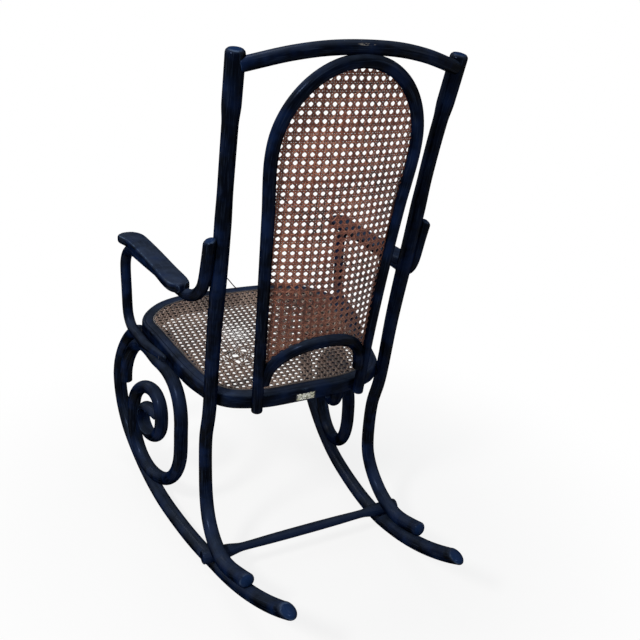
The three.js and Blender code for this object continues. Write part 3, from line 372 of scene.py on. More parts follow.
def layered(tree, colour, *layers):
    """A colour with others laid over it, each by its mask."""
    for mask, over in layers:
        colour = mix_colour(tree, mask, colour, over)
    return colour


def split_node(tree, vector):
    node = tree.nodes.new("ShaderNodeSeparateXYZ")
    tree.links.new(vector, node.inputs[0])
    return node.outputs


def place_on(tree):
    return tree.nodes.new("ShaderNodeTexCoord").outputs["Object"]


def grain_on(tree):
    node = tree.nodes.new("ShaderNodeUVMap")
    node.uv_map = "grain"
    return node.outputs["UV"]


def attribute_on(tree, name):
    node = tree.nodes.new("ShaderNodeAttribute")
    node.attribute_name = name
    return node.outputs["Fac"]


# Node groups: effects that several finishes share
def new_group(name, inputs, *outputs):
    """A node group with float outputs; an input is a float with its default, or a vector at None."""
    group = bpy.data.node_groups.new(name, "ShaderNodeTree")
    for label, value in inputs.items():
        kind = "NodeSocketVector" if value is None else "NodeSocketFloat"
        socket = group.interface.new_socket(name=label, in_out="INPUT", socket_type=kind)
        if value is not None:
            socket.default_value = value
    for label in outputs:
        group.interface.new_socket(name=label, in_out="OUTPUT", socket_type="NodeSocketFloat")
    return group, group.nodes.new("NodeGroupInput").outputs, group.nodes.new("NodeGroupOutput").inputs


def group_node(tree, group, **values):
    node = tree.nodes.new("ShaderNodeGroup")
    node.node_tree = group
    for label, value in values.items():
        link_or_set(tree, node.inputs[label], value)
    return node.outputs


def grain_group():
    """Long fibres: noise on a vector squeezed along the rod, and a slower noise for its tone."""
    group, given, made = new_group("Long Grain", {"Vector": None, "Scale": 400.0}, "Streak", "Tone")
    squeezed = math_node(group, "MULTIPLY", given["Vector"], (1.0, 0.05, 1.0), vector=True)
    group.links.new(noise_node(group, squeezed, given["Scale"]), made["Streak"])
    group.links.new(noise_node(group, given["Vector"], 14.0, 3.0), made["Tone"])
    return group


def rubbed_and_highlit_group():
    """Where finish is worn off, and where an edge gets a painted highlight: the edge mark plus noise, cut to
    a soft threshold.
    """
    inputs = {"Vector": None, "Edge": 0.0, "Scale": 90.0, "Amount": 0.5}
    group, given, made = new_group("Rubbed And Highlit Edge", inputs, "Mask")
    patch = noise_node(group, given["Vector"], given["Scale"], 6.0, 0.65)
    swing = math_node(group, "MULTIPLY_ADD", patch, 1.1, -0.55)
    total = math_node(group, "ADD", given["Edge"], swing)
    raised = math_node(group, "ADD", total, given["Amount"])
    group.links.new(range_node(group, raised, 0.95, 1.35), made["Mask"])
    return group


def dust_and_sheen_group():
    """A thin dusty layer with a painted light sheen on faces that look up: the normal's height times a cloudy
    noise.
    """
    group, given, made = new_group("Dust And Sheen", {"Vector": None, "Scale": 25.0}, "Mask")
    normal = group.nodes.new("ShaderNodeNewGeometry").outputs["Normal"]
    level = range_node(group, split_node(group, normal)["Z"], 0.1, 1.0)
    cloud = noise_node(group, given["Vector"], given["Scale"], 5.0, 0.6)
    group.links.new(math_node(group, "MULTIPLY", level, cloud), made["Mask"])
    return group


def scuff_group():
    """Short scratches round one place: fine stretched noise inside an ellipsoid about it."""
    inputs = {"Vector": None, "Centre": None, "Reach": None}
    group, given, made = new_group("Scuff Marks", inputs, "Mask")
    away = math_node(group, "SUBTRACT", given["Vector"], given["Centre"], vector=True)
    share = math_node(group, "DIVIDE", away, given["Reach"], vector=True)
    near = range_node(group, math_node(group, "LENGTH", share, vector=True), 0.5, 1.0, 1.0, 0.0)
    squeezed = math_node(group, "MULTIPLY", given["Vector"], (0.3, 1.0, 1.4), vector=True)
    scratch = range_node(group, noise_node(group, squeezed, 330.0, 5.0, 0.7), 0.5, 0.57)
    group.links.new(math_node(group, "MULTIPLY", near, scratch), made["Mask"])
    return group


grain_fibres = grain_group()
scuff_marks = scuff_group()
rubbed_and_highlit_edge = rubbed_and_highlit_group()
dust_and_sheen = dust_and_sheen_group()


def new_finish(name):
    finish = bpy.data.materials.new(name)
    finish.use_nodes = True
    tree = finish.node_tree
    return finish, tree, tree.nodes["Principled BSDF"]


def feed(tree, shader, height, distance, values):
    """Gives the shader its values by label, and a height as bump over a distance in metres."""
    for label, value in values.items():
        link_or_set(tree, shader.inputs[label], value)
    bump = tree.nodes.new("ShaderNodeBump")
    bump.inputs["Distance"].default_value = distance
    tree.links.new(height, bump.inputs["Height"])
    tree.links.new(bump.outputs["Normal"], shader.inputs["Normal"])


def lacquer_finish(name, worn, gloss=0.18, shine=0.045, dust_sheen_share=0.5, scuffs=None):
    """Dark polish over wood: near black with a blue cast, streaks under it, lighter where worn and in painted
    highlights along edges, a painted blue sky reflection on end faces, and a painted light sheen with dusty
    noise on faces that look up.

    Its mirror share fades where a face turns away, so that the rims don't pick up the white room.
    """
    finish, tree, shader = new_finish(name)
    place = place_on(tree)
    grain = group_node(tree, grain_fibres, Vector=grain_on(tree), Scale=420.0)
    dust_sheen = group_node(tree, dust_and_sheen, Vector=place, Scale=30.0)["Mask"]
    mark = attribute_on(tree, "mark")
    rubbed_and_highlit = group_node(tree, rubbed_and_highlit_edge, Vector=place, Scale=70.0, Amount=worn, Edge=mark)["Mask"]
    chips = noise_node(tree, place, 150.0, 5.0, 0.7)
    tone = range_node(tree, grain["Tone"], 0.4, 0.68)
    colour = layered(
        tree, mix_colour(tree, tone, (0.0003, 0.0006, 0.0018), (0.0028, 0.0082, 0.0310)),
        (range_node(tree, grain["Streak"], 0.48, 0.8), (0.0105, 0.0165, 0.0320)),
        # a dusty layer with a painted light sheen, on faces that look up
        (math_node(tree, "MULTIPLY", dust_sheen, dust_sheen_share), (0.046, 0.064, 0.105)),
        # painted blue sky reflection on the end faces
        (math_node(tree, "MULTIPLY", attribute_on(tree, "cap"), 0.85), (0.0065, 0.0190, 0.060)),
        (range_node(tree, chips, 0.735, 0.76, 0.0, 0.55), (0.09, 0.055, 0.04)),
        # worn edges and painted edge highlights, in a lighter blue
        (math_node(tree, "MULTIPLY", rubbed_and_highlit, 0.75), (0.06, 0.095, 0.165)),
    )
    if scuffs:
        scratched = group_node(tree, scuff_marks, Vector=place, Centre=scuffs[0], Reach=scuffs[1])
        colour = mix_colour(tree, scratched["Mask"], colour, (0.15, 0.14, 0.125))
    rough = math_node(tree, "MULTIPLY_ADD", grain["Streak"], 0.22, gloss - 0.08)
    facing = tree.nodes.new("ShaderNodeLayerWeight")
    facing.inputs["Blend"].default_value = 0.5
    feed(tree, shader, grain["Streak"], 0.00018, {
        "Base Color": colour,
        "Roughness": math_node(tree, "MULTIPLY_ADD", rubbed_and_highlit, 0.25, rough),
        "Specular IOR Level": range_node(tree, facing.outputs["Facing"], 0.1, 0.62, shine, 0.0),
        "Specular Tint": (0.32, 0.46, 0.85, 1.0),
    })
    return finish


def cane_finish(name, dark, middle, pale, shade_below=None):
    """Woven cane: each strand has its own tone, with painted shade along its edges and fine lines; painted
    shade darkens the sheet below a height.
    """
    finish, tree, shader = new_finish(name)
    place, along = place_on(tree), grain_on(tree)
    streak = group_node(tree, grain_fibres, Vector=along, Scale=2600.0)["Streak"]
    patch = noise_node(tree, place, 9.0, 4.0)
    speck = noise_node(tree, place, 160.0, 3.0)
    tone = math_node(tree, "MULTIPLY_ADD", attribute_on(tree, "mark"), 0.55, patch)
    strand_crest = 0.0015
    off = math_node(tree, "ABSOLUTE", math_node(tree, "SUBTRACT", split_node(tree, along)["X"], strand_crest))
    colour = layered(
        tree, mix_colour(tree, range_node(tree, tone, 0.35, 0.8), dark, middle),
        (range_node(tree, tone, 0.72, 1.15), pale),
        (range_node(tree, speck, 0.56, 0.72, 0.0, 0.6), dark),
        (range_node(tree, streak, 0.45, 0.75, 0.0, 0.35), dark),
        # painted shade along each strand's edges and underside, where strands overlap
        (range_node(tree, off, 0.0006, 0.0014, 0.0, 0.95), dark),
    )
    # painted shade below a height: full at the low height, fading out by the high one
    if shade_below:
        low, high, share = shade_below
        below = range_node(tree, split_node(tree, place)["Z"], low, high, share, 0.0)
        colour = mix_colour(tree, below, colour, (0.040, 0.017, 0.012))
    feed(tree, shader, streak, 0.0002, {
        "Base Color": colour,
        "Roughness": math_node(tree, "MULTIPLY_ADD", speck, 0.3, 0.35),
        "Specular IOR Level": 0.4,
    })
    return finish


def reed_finish():
    """The reed round the seat: dark stained, dull, with long lines."""
    finish, tree, shader = new_finish("stained_reed")
    streak = group_node(tree, grain_fibres, Vector=grain_on(tree), Scale=1500.0)["Streak"]
    patch = range_node(tree, noise_node(tree, place_on(tree), 40.0, 5.0), 0.35, 0.7)
    feed(tree, shader, streak, 0.0002, {
        "Base Color": mix_colour(tree, patch, (0.006, 0.006, 0.009), (0.035, 0.022, 0.018)),
        "Roughness": math_node(tree, "MULTIPLY_ADD", streak, 0.3, 0.3),
        "Specular IOR Level": 0.35,
    })
    return finish


def brass_finish(low, high):
    """The bare plate: pale old brass, spotted dark, with paint left round the edge of its box."""
    finish, tree, shader = new_finish("old_brass")
    place = place_on(tree)
    spots = noise_node(tree, place, 430.0, 6.0, 0.75)
    stain = noise_node(tree, place, 110.0, 4.0)
    shares, axes = [], split_node(tree, place)
    for axis in (0, 2):
        off = math_node(tree, "SUBTRACT", axes[axis], (low[axis] + high[axis]) / 2)
        share = math_node(tree, "DIVIDE", off, (high[axis] - low[axis]) / 2)
        shares.append(math_node(tree, "ABSOLUTE", share))
    rim = math_node(tree, "MULTIPLY_ADD", spots, 0.9, math_node(tree, "MAXIMUM", *shares))
    colour = layered(
        tree, mix_colour(tree, range_node(tree, stain, 0.4, 0.62), (0.86, 0.86, 0.76), (0.50, 0.50, 0.36)),
        (range_node(tree, spots, 0.49, 0.55), (0.02, 0.022, 0.022)),
        (range_node(tree, rim, 1.22, 1.34), (0.003, 0.005, 0.012)),
    )
    feed(tree, shader, spots, 0.0002, {
        "Base Color": colour,
        "Metallic": range_node(tree, spots, 0.5, 0.64, 0.45, 0.05),
        "Roughness": range_node(tree, stain, 0.3, 0.7, 0.32, 0.6),
    })
    return finish


def steel_finish():
    """Screw heads: painted over with the lacquer, with a slot across the head in painted shade and rust
    specks.
    """
    finish, tree, shader = new_finish("blued_steel")
    off = math_node(tree, "ABSOLUTE", split_node(tree, grain_on(tree))["X"])
    # the slot is a bump in the head, painted near black as the shade inside it
    slot = range_node(tree, off, 0.00045, 0.0007, 1.0, 0.0)
    rust = noise_node(tree, place_on(tree), 300.0, 5.0, 0.7)
    rusty = range_node(tree, rust, 0.55, 0.75)
    colour = layered(
        tree, (0.002, 0.004, 0.012), (rusty, (0.02, 0.012, 0.009)), (slot, (0.001, 0.001, 0.002)),
    )
    feed(tree, shader, math_node(tree, "MULTIPLY_ADD", slot, -1.0, rust), 0.0005, {
        "Base Color": colour,
        "Metallic": range_node(tree, rust, 0.45, 0.7, 0.25, 0.05),
        "Specular IOR Level": 0.15,
        "Roughness": range_node(tree, rust, 0.3, 0.7, 0.3, 0.6),
    })
    return finish


rod_lacquer = lacquer_finish("lacquered_beech", 0.34)
crest_scuffs = (0.004, 0.272, 1.0827), (0.019, 0.007, 0.0028)
crest_lacquer = lacquer_finish("lacquered_crest", 0.3, scuffs=crest_scuffs)
pad_lacquer = lacquer_finish("lacquered_pad", 0.4, gloss=0.3, shine=0.06, dust_sheen_share=0.62)
# The back cane is given painted shade lower down, from 0.75 m to 0.5 m high.
back_cane = cane_finish(
    "brown_back_cane", (0.026, 0.007, 0.0045), (0.205, 0.057, 0.033), (0.44, 0.175, 0.106),
    shade_below=(0.5, 0.75, 0.6),
)
seat_cane = cane_finish(
    "grey_seat_cane", (0.011, 0.0055, 0.0040), (0.140, 0.078, 0.054), (0.35, 0.25, 0.195),
)
stained_reed = reed_finish()
plate_corners = np.array([corner[:] for corner in nodes["blank_plate"].bound_box])
old_brass = brass_finish(plate_corners.min(axis=0), plate_corners.max(axis=0))
blued_steel = steel_finish()

# Half thicknesses: the rocker's middle; its front, the scroll and the post's foot; the arm bow
rocker_half, bar_half, arm_half = 16, 15.5, 11.5
lap = 1.5

# Seat ring in its own sloping plane
seat_slope = math.radians(6)
slope_cos, slope_sin, slope_tan = math.cos(seat_slope), math.sin(seat_slope), math.tan(seat_slope)
seat_back_height = 413.5
seat_half_width, seat_depth = 247, 485
ring_overhang = 5
ring_height, ring_back_height = 38, 32
ring_thin_depth, ring_growth = 60, 90
ring_steps = 220
ring_shares = np.array([
    [0, 0], [0.36, 0.002], [0.52, 0.02], [0.67, 0.052], [0.78, 0.11], [0.84, 0.2], [0.89, 0.32],
    [0.93, 0.466], [0.968, 0.633], [1, 0.757], [0.965, 0.82], [0.86, 0.893], [0.73, 0.945],
    [0.54, 0.982], [0.25, 0.998], [0, 1],
])
ring_half = np.pad(ring_shares * [seat_half_width, -seat_depth], ((0, 0), (0, 1)))
ring_other = ring_half[1:-1][::-1] * [-1, 1, 1]
ring_fine, ring_lengths = fine_curve(np.vstack([ring_half, ring_other]), closed=True)


def on_seat(flat):
    """Turns places of the seat's own plane down to the front by its slope, and lifts them to it."""
    x, y, z = flat[..., 0], flat[..., 1], flat[..., 2]
    back = y * slope_cos + z * slope_sin + ring_overhang
    return columns(x, back, -y * slope_sin + z * slope_cos + seat_back_height)


def ring_line(count, inset):
    """The ring's outline moved inwards, as a row of flat places."""
    stations = ring_lengths[-1] * np.arange(count) / count
    place = places_at(ring_fine, ring_lengths, stations)
    ahead = places_at(ring_fine, ring_lengths, (stations + 1) % ring_lengths[-1])
    behind = places_at(ring_fine, ring_lengths, (stations - 1) % ring_lengths[-1])
    along = unit(ahead - behind)
    return place + columns(along[:, 1], -along[:, 0], 0) * inset


def ring_shape():
    """The seat ring: a bent bar with a bead, a groove, a land and the cane's rebate.

    Each row of the section is a reach inwards, a share of the bar's height and a rise over it.
    """
    outer = ring_line(ring_steps, 0)
    height = ease(ring_back_height, ring_height, (-outer[:, 1] - ring_thin_depth) / ring_growth)
    section = np.array([
        [38, -1, 4], [33.5, -1, 0], [19, -1, -0.3], [6, -1, 0], [3, -1, 0.8], [1, -1, 2.6], [0.1, -1, 6],
        [-0.4, -0.5, 0], [0.1, 0, -6.5], [0.5, 0, -4.4], [1.5, 0, -2.2], [3, 0, -0.7], [4.6, 0, -0.1],
        [6.2, 0, -0.4], [7.6, 0, -1.2], [8.7, 0, -2.2], [9.6, 0, -2.2], [10.6, 0, -1.3], [12, 0, -1],
        [17, 0, -0.9], [22.6, 0, -1], [23.6, 0, -1.4], [24, 0, -2.2], [24, 0, -4], [31, 0, -4],
        [37, 0, -4], [37.8, 0, -4.8], [38, 0, -7], [38, -0.5, 0],
    ])
    inward = ring_line(ring_steps, 1) - outer
    level = section[:, 1] * height[:, None] + section[:, 2]
    rows = outer[:, None] + inward[:, None] * section[:, :1]
    shape = loop_shape(on_seat(rows + level[..., None] * up_axis))
    # Marks along the outer bead, which the lacquer lightens into a painted highlight line.
    edge = np.exp(-(((section[:, 0] - 2) / 3) ** 2)) * (section[:, 1] > -0.2)
    shape["marks"] = np.tile(edge * 0.62, ring_steps)
    return shape


def reed_shape():
    """The reed: an oval section carried round the groove."""
    reed_inset, half_width, half_height, middle_drop = 26.3, 2, 1.6, 2.1
    angle = 2 * math.pi * np.arange(12) / 12
    middle = ring_line(ring_steps, reed_inset)
    inward = ring_line(ring_steps, reed_inset + 1) - middle
    rows = middle[:, None] + inward[:, None] * (half_width * np.cos(angle))[:, None]
    rows = rows + (half_height * np.sin(angle) - middle_drop)[:, None] * up_axis
    return loop_shape(on_seat(rows))


put("seat_ring_bent", ring_shape(), rod_lacquer, "lacquer", "seat_ring")
put("seat_reed", reed_shape(), stained_reed, "reed", "seat_cane_spline")


def round_section(radius_at):
    """A circle whose radius stays the same, or follows the share of the length."""
    def section(t, angle):
        radius = radius_at(t) if callable(radius_at) else np.full_like(t, radius_at)
        return radius * np.cos(angle), radius * np.sin(angle), radius
    return section


# Rockers
balance_back, rocker_low, rocker_side = 183, 14.7, 202.5
rocker_toe, tail_toe, rocker_lean = 0.12, 0.07, 0.0125
tuck, tuck_low, tuck_run = 15, 225, 170
rear_radius, rear_run = 910, 511
flat_radius, flat_run = 1500, 60
front_radius, front_turn = 465, math.radians(33)
toe_radius, curl_radius, curl_lap = 164, 160, 46
rear_turn = math.asin(rear_run / rear_radius)
rear = bend(path_start(-balance_back, rocker_low, math.pi), rear_radius, -rear_turn, 12)
front = bend(path_start(-balance_back, rocker_low, 0), flat_radius, flat_run / flat_radius, 2)
front_centre = beside(front[-1:], front_radius)[0]
front = bend(front, front_radius, front_turn - flat_run / flat_radius, 6)
front = bend(front, toe_radius, quarter - front_turn, 5)
upsweep = len(front) - 1
under_ring = (
    seat_back_height - ring_height / slope_cos - (front[-1, 0] + curl_radius - ring_overhang) * slope_tan
)
curl_height = under_ring - (curl_radius + bar_half - lap) / slope_cos
front = follow(front, (curl_height - front[-1, 1],), (curl_radius, quarter + seat_slope, 9), (curl_lap,))


def leaning(path, side, toe, lean):
    """Side-view points on a leaning plane: it toes out forward and tucks in at the top."""
    back, height = path[:, 0], path[:, 1]
    tucked = ease(0, tuck, (height - tuck_low) / tuck_run)
    return columns(side - toe * back - lean * height - tucked, back, height)


def on_rocker(path):
    """Side-view points on the left rocker's plane, which toes out less behind than in front."""
    toe = np.where(path[:, 0] < 0, rocker_toe, tail_toe)
    return leaning(path, rocker_side, toe, rocker_lean)


def rocker_radius(t):
    """30 mm thick at the tail, 32 from the first quarter on, 31 at the curl."""
    return ease(ease(30, 32, t * 4), 31, t * 2 - 1) / 2


rocker = rod(
    np.vstack([on_rocker(rear[1:][::-1]), on_rocker(front)]),
    side_axis, round_section(rocker_radius), edges=(3, 5), slants=((0.4, 2.0), (0, 0)),
)
# It stands on a planed flat, and is drawn in by a hair to keep its tail inside the CAD box.
drawn_in = 0.9985
rocker["verts"][:, 2] = np.maximum(rocker["verts"][:, 2], 0)
rocker["verts"][:, 1] = (rocker["verts"][:, 1] + root_shift[1]) * drawn_in - root_shift[1]
put_pair("rocker_bent", rocker, rod_lacquer, "rocker")

# Side scrolls: up along the rocker's toe, over the shoulder, round the loop and into the eye
nose_gap, nose_side = 31.3, 5
scroll_side, scroll_toe, scroll_lean = 178.6, 0.2, 0.021
shoulder_back, shoulder_radius = 305, 122
heel_radius, belly_radius = 142, 93
scroll_sides = 32
nose = beside(front[upsweep:], nose_gap)
scroll = straight(nose, -(nose[-1, 0] + shoulder_back) / slope_cos)
scroll = bend(scroll, shoulder_radius, quarter - seat_slope, 6)
loop_back = -scroll[-1, 0] + heel_radius
loop_reach = front_radius - rocker_half - bar_half + lap - belly_radius
loop_centre = front_centre[1] - math.sqrt(loop_reach**2 - (loop_back + front_centre[0]) ** 2)
scroll = straight(scroll, scroll[-1, 1] - heel_radius - (loop_centre - belly_radius))
scroll = follow(
    scroll, (heel_radius, quarter, 7), (belly_radius, quarter, 6),
    (36,), (92, quarter, 6), (52, quarter, 5), (5,),
)
eye_back = scroll[-1, 0]
scroll = follow(scroll, (62, quarter, 5), (31, quarter, 4), (4,), (31, quarter, 4))
scroll = straight(scroll, eye_back - scroll[-1, 0] - bar_half / 2)


def eye_limit(t):
    """How far the scroll's section rises: over the last fifth it is planed down to its middle."""
    return ease(bar_half, -0.5, (t - 0.8) / 0.15)


def scroll_section(t, angle):
    """A circle that is planed flat on the side of the eye."""
    across = bar_half * np.cos(angle) * np.ones_like(t)
    rise = bar_half * np.sin(angle) * np.ones_like(t)
    return across, np.minimum(rise, eye_limit(t)), np.full_like(rise, bar_half)


nose_places = on_rocker(nose)
nose_places[:, 0] -= ease(nose_side, 0, np.arange(len(nose)) / len(nose))
scroll_places = leaning(scroll[len(nose):], scroll_side, scroll_toe, scroll_lean)
scroll_points = np.vstack([nose_places, scroll_places])
side_scroll = rod(scroll_points, side_axis, scroll_section, sides=scroll_sides, spacing=5.0)
share = side_scroll["shares"][:, None]
round_angle = quarter + 2 * math.pi * np.arange(scroll_sides) / scroll_sides
# Marks that the lacquer lightens round the eye's planed flat: a painted highlight along its rim and a faint
# painted sky reflection on the flat.
over_limit = bar_half * np.sin(round_angle) - eye_limit(share)
planed = share > 0.84
rim = np.exp(-((over_limit / 1.6) ** 2)) * planed * 0.95
flat_face = (over_limit > 0) * planed * 0.12
side_scroll["marks"][:-2] = np.maximum(side_scroll["marks"][:-2], np.maximum(rim, flat_face).ravel())
put_pair("side_scroll_bent", side_scroll, rod_lacquer, "side_scroll")

# Back posts
post_side, post_splay = 198, 6
post_bend_height, post_height = 374, 1070
post_forward, post_rake = 42, 155
knee_run, shin_run, shin_height = 28, 23, 300
foot_radius, foot_side, foot_reach = 122, 7, 172
foot_rise = math.sqrt((rocker_half + bar_half - lap) ** 2 - foot_side**2)
rear_height = rocker_low + rear_radius
knee_back = foot_radius - post_forward - knee_run
knee_reach = rear_radius - foot_rise - foot_radius
knee_height = rear_height - math.sqrt(knee_reach**2 - (balance_back + knee_back) ** 2)
foot_turn = math.asin((balance_back + knee_back) / knee_reach)
foot_rest = math.asin((foot_reach + balance_back) / (rear_radius - foot_rise)) - foot_turn
foot = follow(
    path_start(knee_back - foot_radius, knee_height, -quarter),
    (foot_radius, -quarter - foot_turn, 7), (rear_radius - foot_rise, -foot_rest, 3),
)
post_shares = np.array([[1, 1, 1], [0.746, 0.69, 0.25], [0.49, 0.44, 0], [0.243, 0.19, 0], [0, 0, 0]])
post_top = columns(
    post_side + post_shares[:, 2] * post_splay,
    -post_forward + post_shares[:, 1] * post_rake,
    line(post_bend_height, post_height, post_shares[:, 0]),
)
foot_share = np.arange(len(foot)) / (len(foot) - 1)
post_foot_side = ease(post_side, on_rocker(foot)[:, 0] + foot_side, foot_share * 1.4)
post_foot = columns(post_foot_side, foot[:, 0], foot[:, 1])
post_points = np.vstack([post_top, [[post_side, -post_forward - shin_run, shin_height]], post_foot])


def post_radius(t):
    """Thick for its first tenth, thinner down to the arm bow, and thinnest at the shin."""
    upper = ease(32, 27.5, (t - 0.07) / 0.03) + ease(0, 2.5, (t - 0.19) / 0.06)
    shin = ease(upper, 27.5, (t - 0.33) / 0.22)
    return ease(shin, 31, (t - 0.68) / 0.22) / 2


rear_post = rod(
    post_points, side_axis, round_section(post_radius),
    sides=32, edges=(6.5, 3.5), slants=((0, 0), (0.4, 0.5)),
)
put_pair("rear_post_bent", rear_post, rod_lacquer, "rear_post")

# Rear stretcher, turned between the rockers: thick ends, slim necks, a fuller middle
stretcher_half_length, stretcher_back, stretcher_half = 235, 12, 14.5
stretcher_reach = rear_radius - rocker_half - (stretcher_half - lap)
stretcher_height = rear_height - math.sqrt(stretcher_reach**2 - (balance_back + stretcher_back) ** 2)
x_rows = np.array([0, 0, 0.8, 2.2, 20, 40, 52, 58, 64, 70, 76, 82, 88, 94, 110, 150, 200, 235], dtype=float)
stretcher_radius = ease(stretcher_half, 9, (x_rows - 50) / 42) + ease(0, 1.5, (x_rows - 94) / 90)
stretcher_radius[:4] = [0, 12.4, 13.8, stretcher_half]
left_half = columns(x_rows, stretcher_radius)
right_half = left_half[:-1][::-1] * [-1, 1] + [2 * stretcher_half_length, 0]
stretcher_start = np.array([-stretcher_half_length, stretcher_back, stretcher_height])
stretcher = turned_shape(np.vstack([left_half, right_half]), stretcher_start, side_axis, 36)
put("rear_stretcher_turned", stretcher, rod_lacquer, "lacquer", "rear_stretcher")

# Crest rail: an arc upwards that also bows to the back
crest_back, crest_bow, crest_height, crest_rise = 115, 30, 1047, 31.3
crest_shares = np.array([-1, -0.6, -0.25, 0.25, 0.6, 1])
crest_arch = 1 - crest_shares**2
crest_points = columns(
    crest_shares * post_side, crest_back + crest_bow * crest_arch, crest_height + crest_rise * crest_arch,
)
crest = rod(crest_points, up_axis, round_section(11.75))
put("crest_rail_bent", crest, crest_lacquer, "lacquer", "crest_rail")

# Back hoop and lower arch
hoop_foot, hoop_shoulder, hoop_top = 383, 905, 1058
hoop_width, hoop_foot_width = 137, 115
hoop_foot_back, hoop_lean = 5, 96
arch_foot, arch_rise, arch_width, arch_bow, crown_bow = 448, 98, 106, 41, 8.5
arch_top = arch_foot + arch_rise


def hoop_back(z):
    s = (z - hoop_foot) / (hoop_shoulder - hoop_foot)
    return hoop_foot_back + hoop_lean * (s * 0.75 + s * s * 0.25)


def bow_at(z):
    return line(arch_bow, crown_bow, (z - arch_top) / (hoop_top - arch_top))


def hoop_half(z):
    s = np.clip((z - hoop_foot) / (hoop_shoulder - hoop_foot), 0, 1)
    return line(hoop_foot_width, hoop_width, s * s * 0.5 + s * 0.5)


leg_z = line(hoop_foot, hoop_shoulder, np.arange(5) / 5)
leg = columns(hoop_half(leg_z), hoop_back(leg_z), leg_z)
crown_angle = quarter * np.arange(6) / 5
crown_z = hoop_shoulder + (hoop_top - hoop_shoulder) * np.sin(crown_angle)
crown_y = hoop_back(crown_z) + bow_at(crown_z) * np.sin(crown_angle) ** 2
crown = columns(hoop_width * np.cos(crown_angle), crown_y, crown_z)
hoop_half_points = np.vstack([leg, crown])
hoop_points = np.vstack([hoop_half_points, hoop_half_points[:-1][::-1] * [-1, 1, 1]])
hoop = rod(hoop_points, back_axis, round_section(11.5))
put("back_hoop_bent", hoop, rod_lacquer, "lacquer", "back_hoop")
arch_angle = math.pi * np.arange(9) / 8
arch_z = arch_foot + arch_rise * np.sin(arch_angle)
arch_y = hoop_back(arch_z) + arch_bow * np.sin(arch_angle) ** 2
arch_points = columns(arch_width * np.cos(arch_angle), arch_y, arch_z)
arch = rod(arch_points, back_axis, round_section(12.0))
put("lower_back_arch_bent", arch, rod_lacquer, "lacquer", "lower_back_arch")

# Arm bows: down the post, forward under the pad, down at the front and back along the ring
arm_top_back, arm_top, arm_post_lap, arm_front = 40, 759, 87, 393
arm_heel_radius, arm_knee_radius, arm_wrist_radius = 70, 60, 42
arm_tip_back, arm_tip_rise, arm_tuck_run, arm_tip_tuck = 207, 3.5, 95, 16
arm_side, arm_top_side, arm_toe, arm_spread_back = 233, 221, 0.098, 60
arm_pitch = math.radians(0.5)
arm_heading = math.radians(-72)
arm = straight(path_start(arm_top_back, arm_top, arm_heading), arm_post_lap, 2)
arm = bend(arm, arm_heel_radius, arm_pitch - arm_heading, 6)
under_pad = arm[-1]
arm = straight(arm, (arm[-1, 0] + arm_front - arm_knee_radius) / math.cos(arm_pitch), 3)
arm = bend(arm, arm_knee_radius, -quarter - arm_pitch, 5)
wrist_back = arm_front - arm_wrist_radius
tip_line = seat_back_height - (-wrist_back - ring_overhang) * slope_tan - ring_height / 2 + arm_tip_rise
arm = straight(arm, arm[-1, 1] - tip_line - arm_wrist_radius / slope_cos, 2)
arm = bend(arm, arm_wrist_radius, -quarter + seat_slope, 5)
arm = straight(arm, (-arm_tip_back - arm[-1, 0]) / slope_cos, 4)
last_steps = np.arange(len(arm)) > len(arm) - 5
near_tip = np.where(last_steps, (arm[:, 0] + arm_tip_back + arm_tuck_run) / arm_tuck_run, 0)
arm_spread = (arm[:, 0] + arm_spread_back) / (arm_top_back + arm_spread_back)
arm_x = ease(arm_side - arm_toe * arm[:, 0], arm_top_side, arm_spread) - ease(0, arm_tip_tuck, near_tip)
arm_points = columns(arm_x, arm[:, 0], arm[:, 1])


def arm_section(t, angle):
    """A circle that flattens to an upright oval over the last seventh, against the seat ring."""
    s = (t - 0.86) / 0.14
    across = ease(arm_half, 6.5, s) * np.cos(angle)
    return across, ease(arm_half, 9.5, s) * np.sin(angle), np.full_like(across, arm_half)


arm_bow = rod(arm_points, side_axis, arm_section, edges=(4, 4.5), slants=((0.75, 0.15), (1.3, 0.2)))
# Near the bow's tip, marks and caps are cleared: neither worn edges nor painted edge highlight nor painted
# blue end reflection there.
plain_tip_reach = 40
arm_tip = np.linalg.norm(arm_bow["verts"] - arm_points[-1], axis=1) < plain_tip_reach
arm_bow["marks"][arm_tip] = 0
arm_bow["caps"][arm_tip] = 0
put_pair("arm_bow_bent", arm_bow, rod_lacquer, "arm_bow")


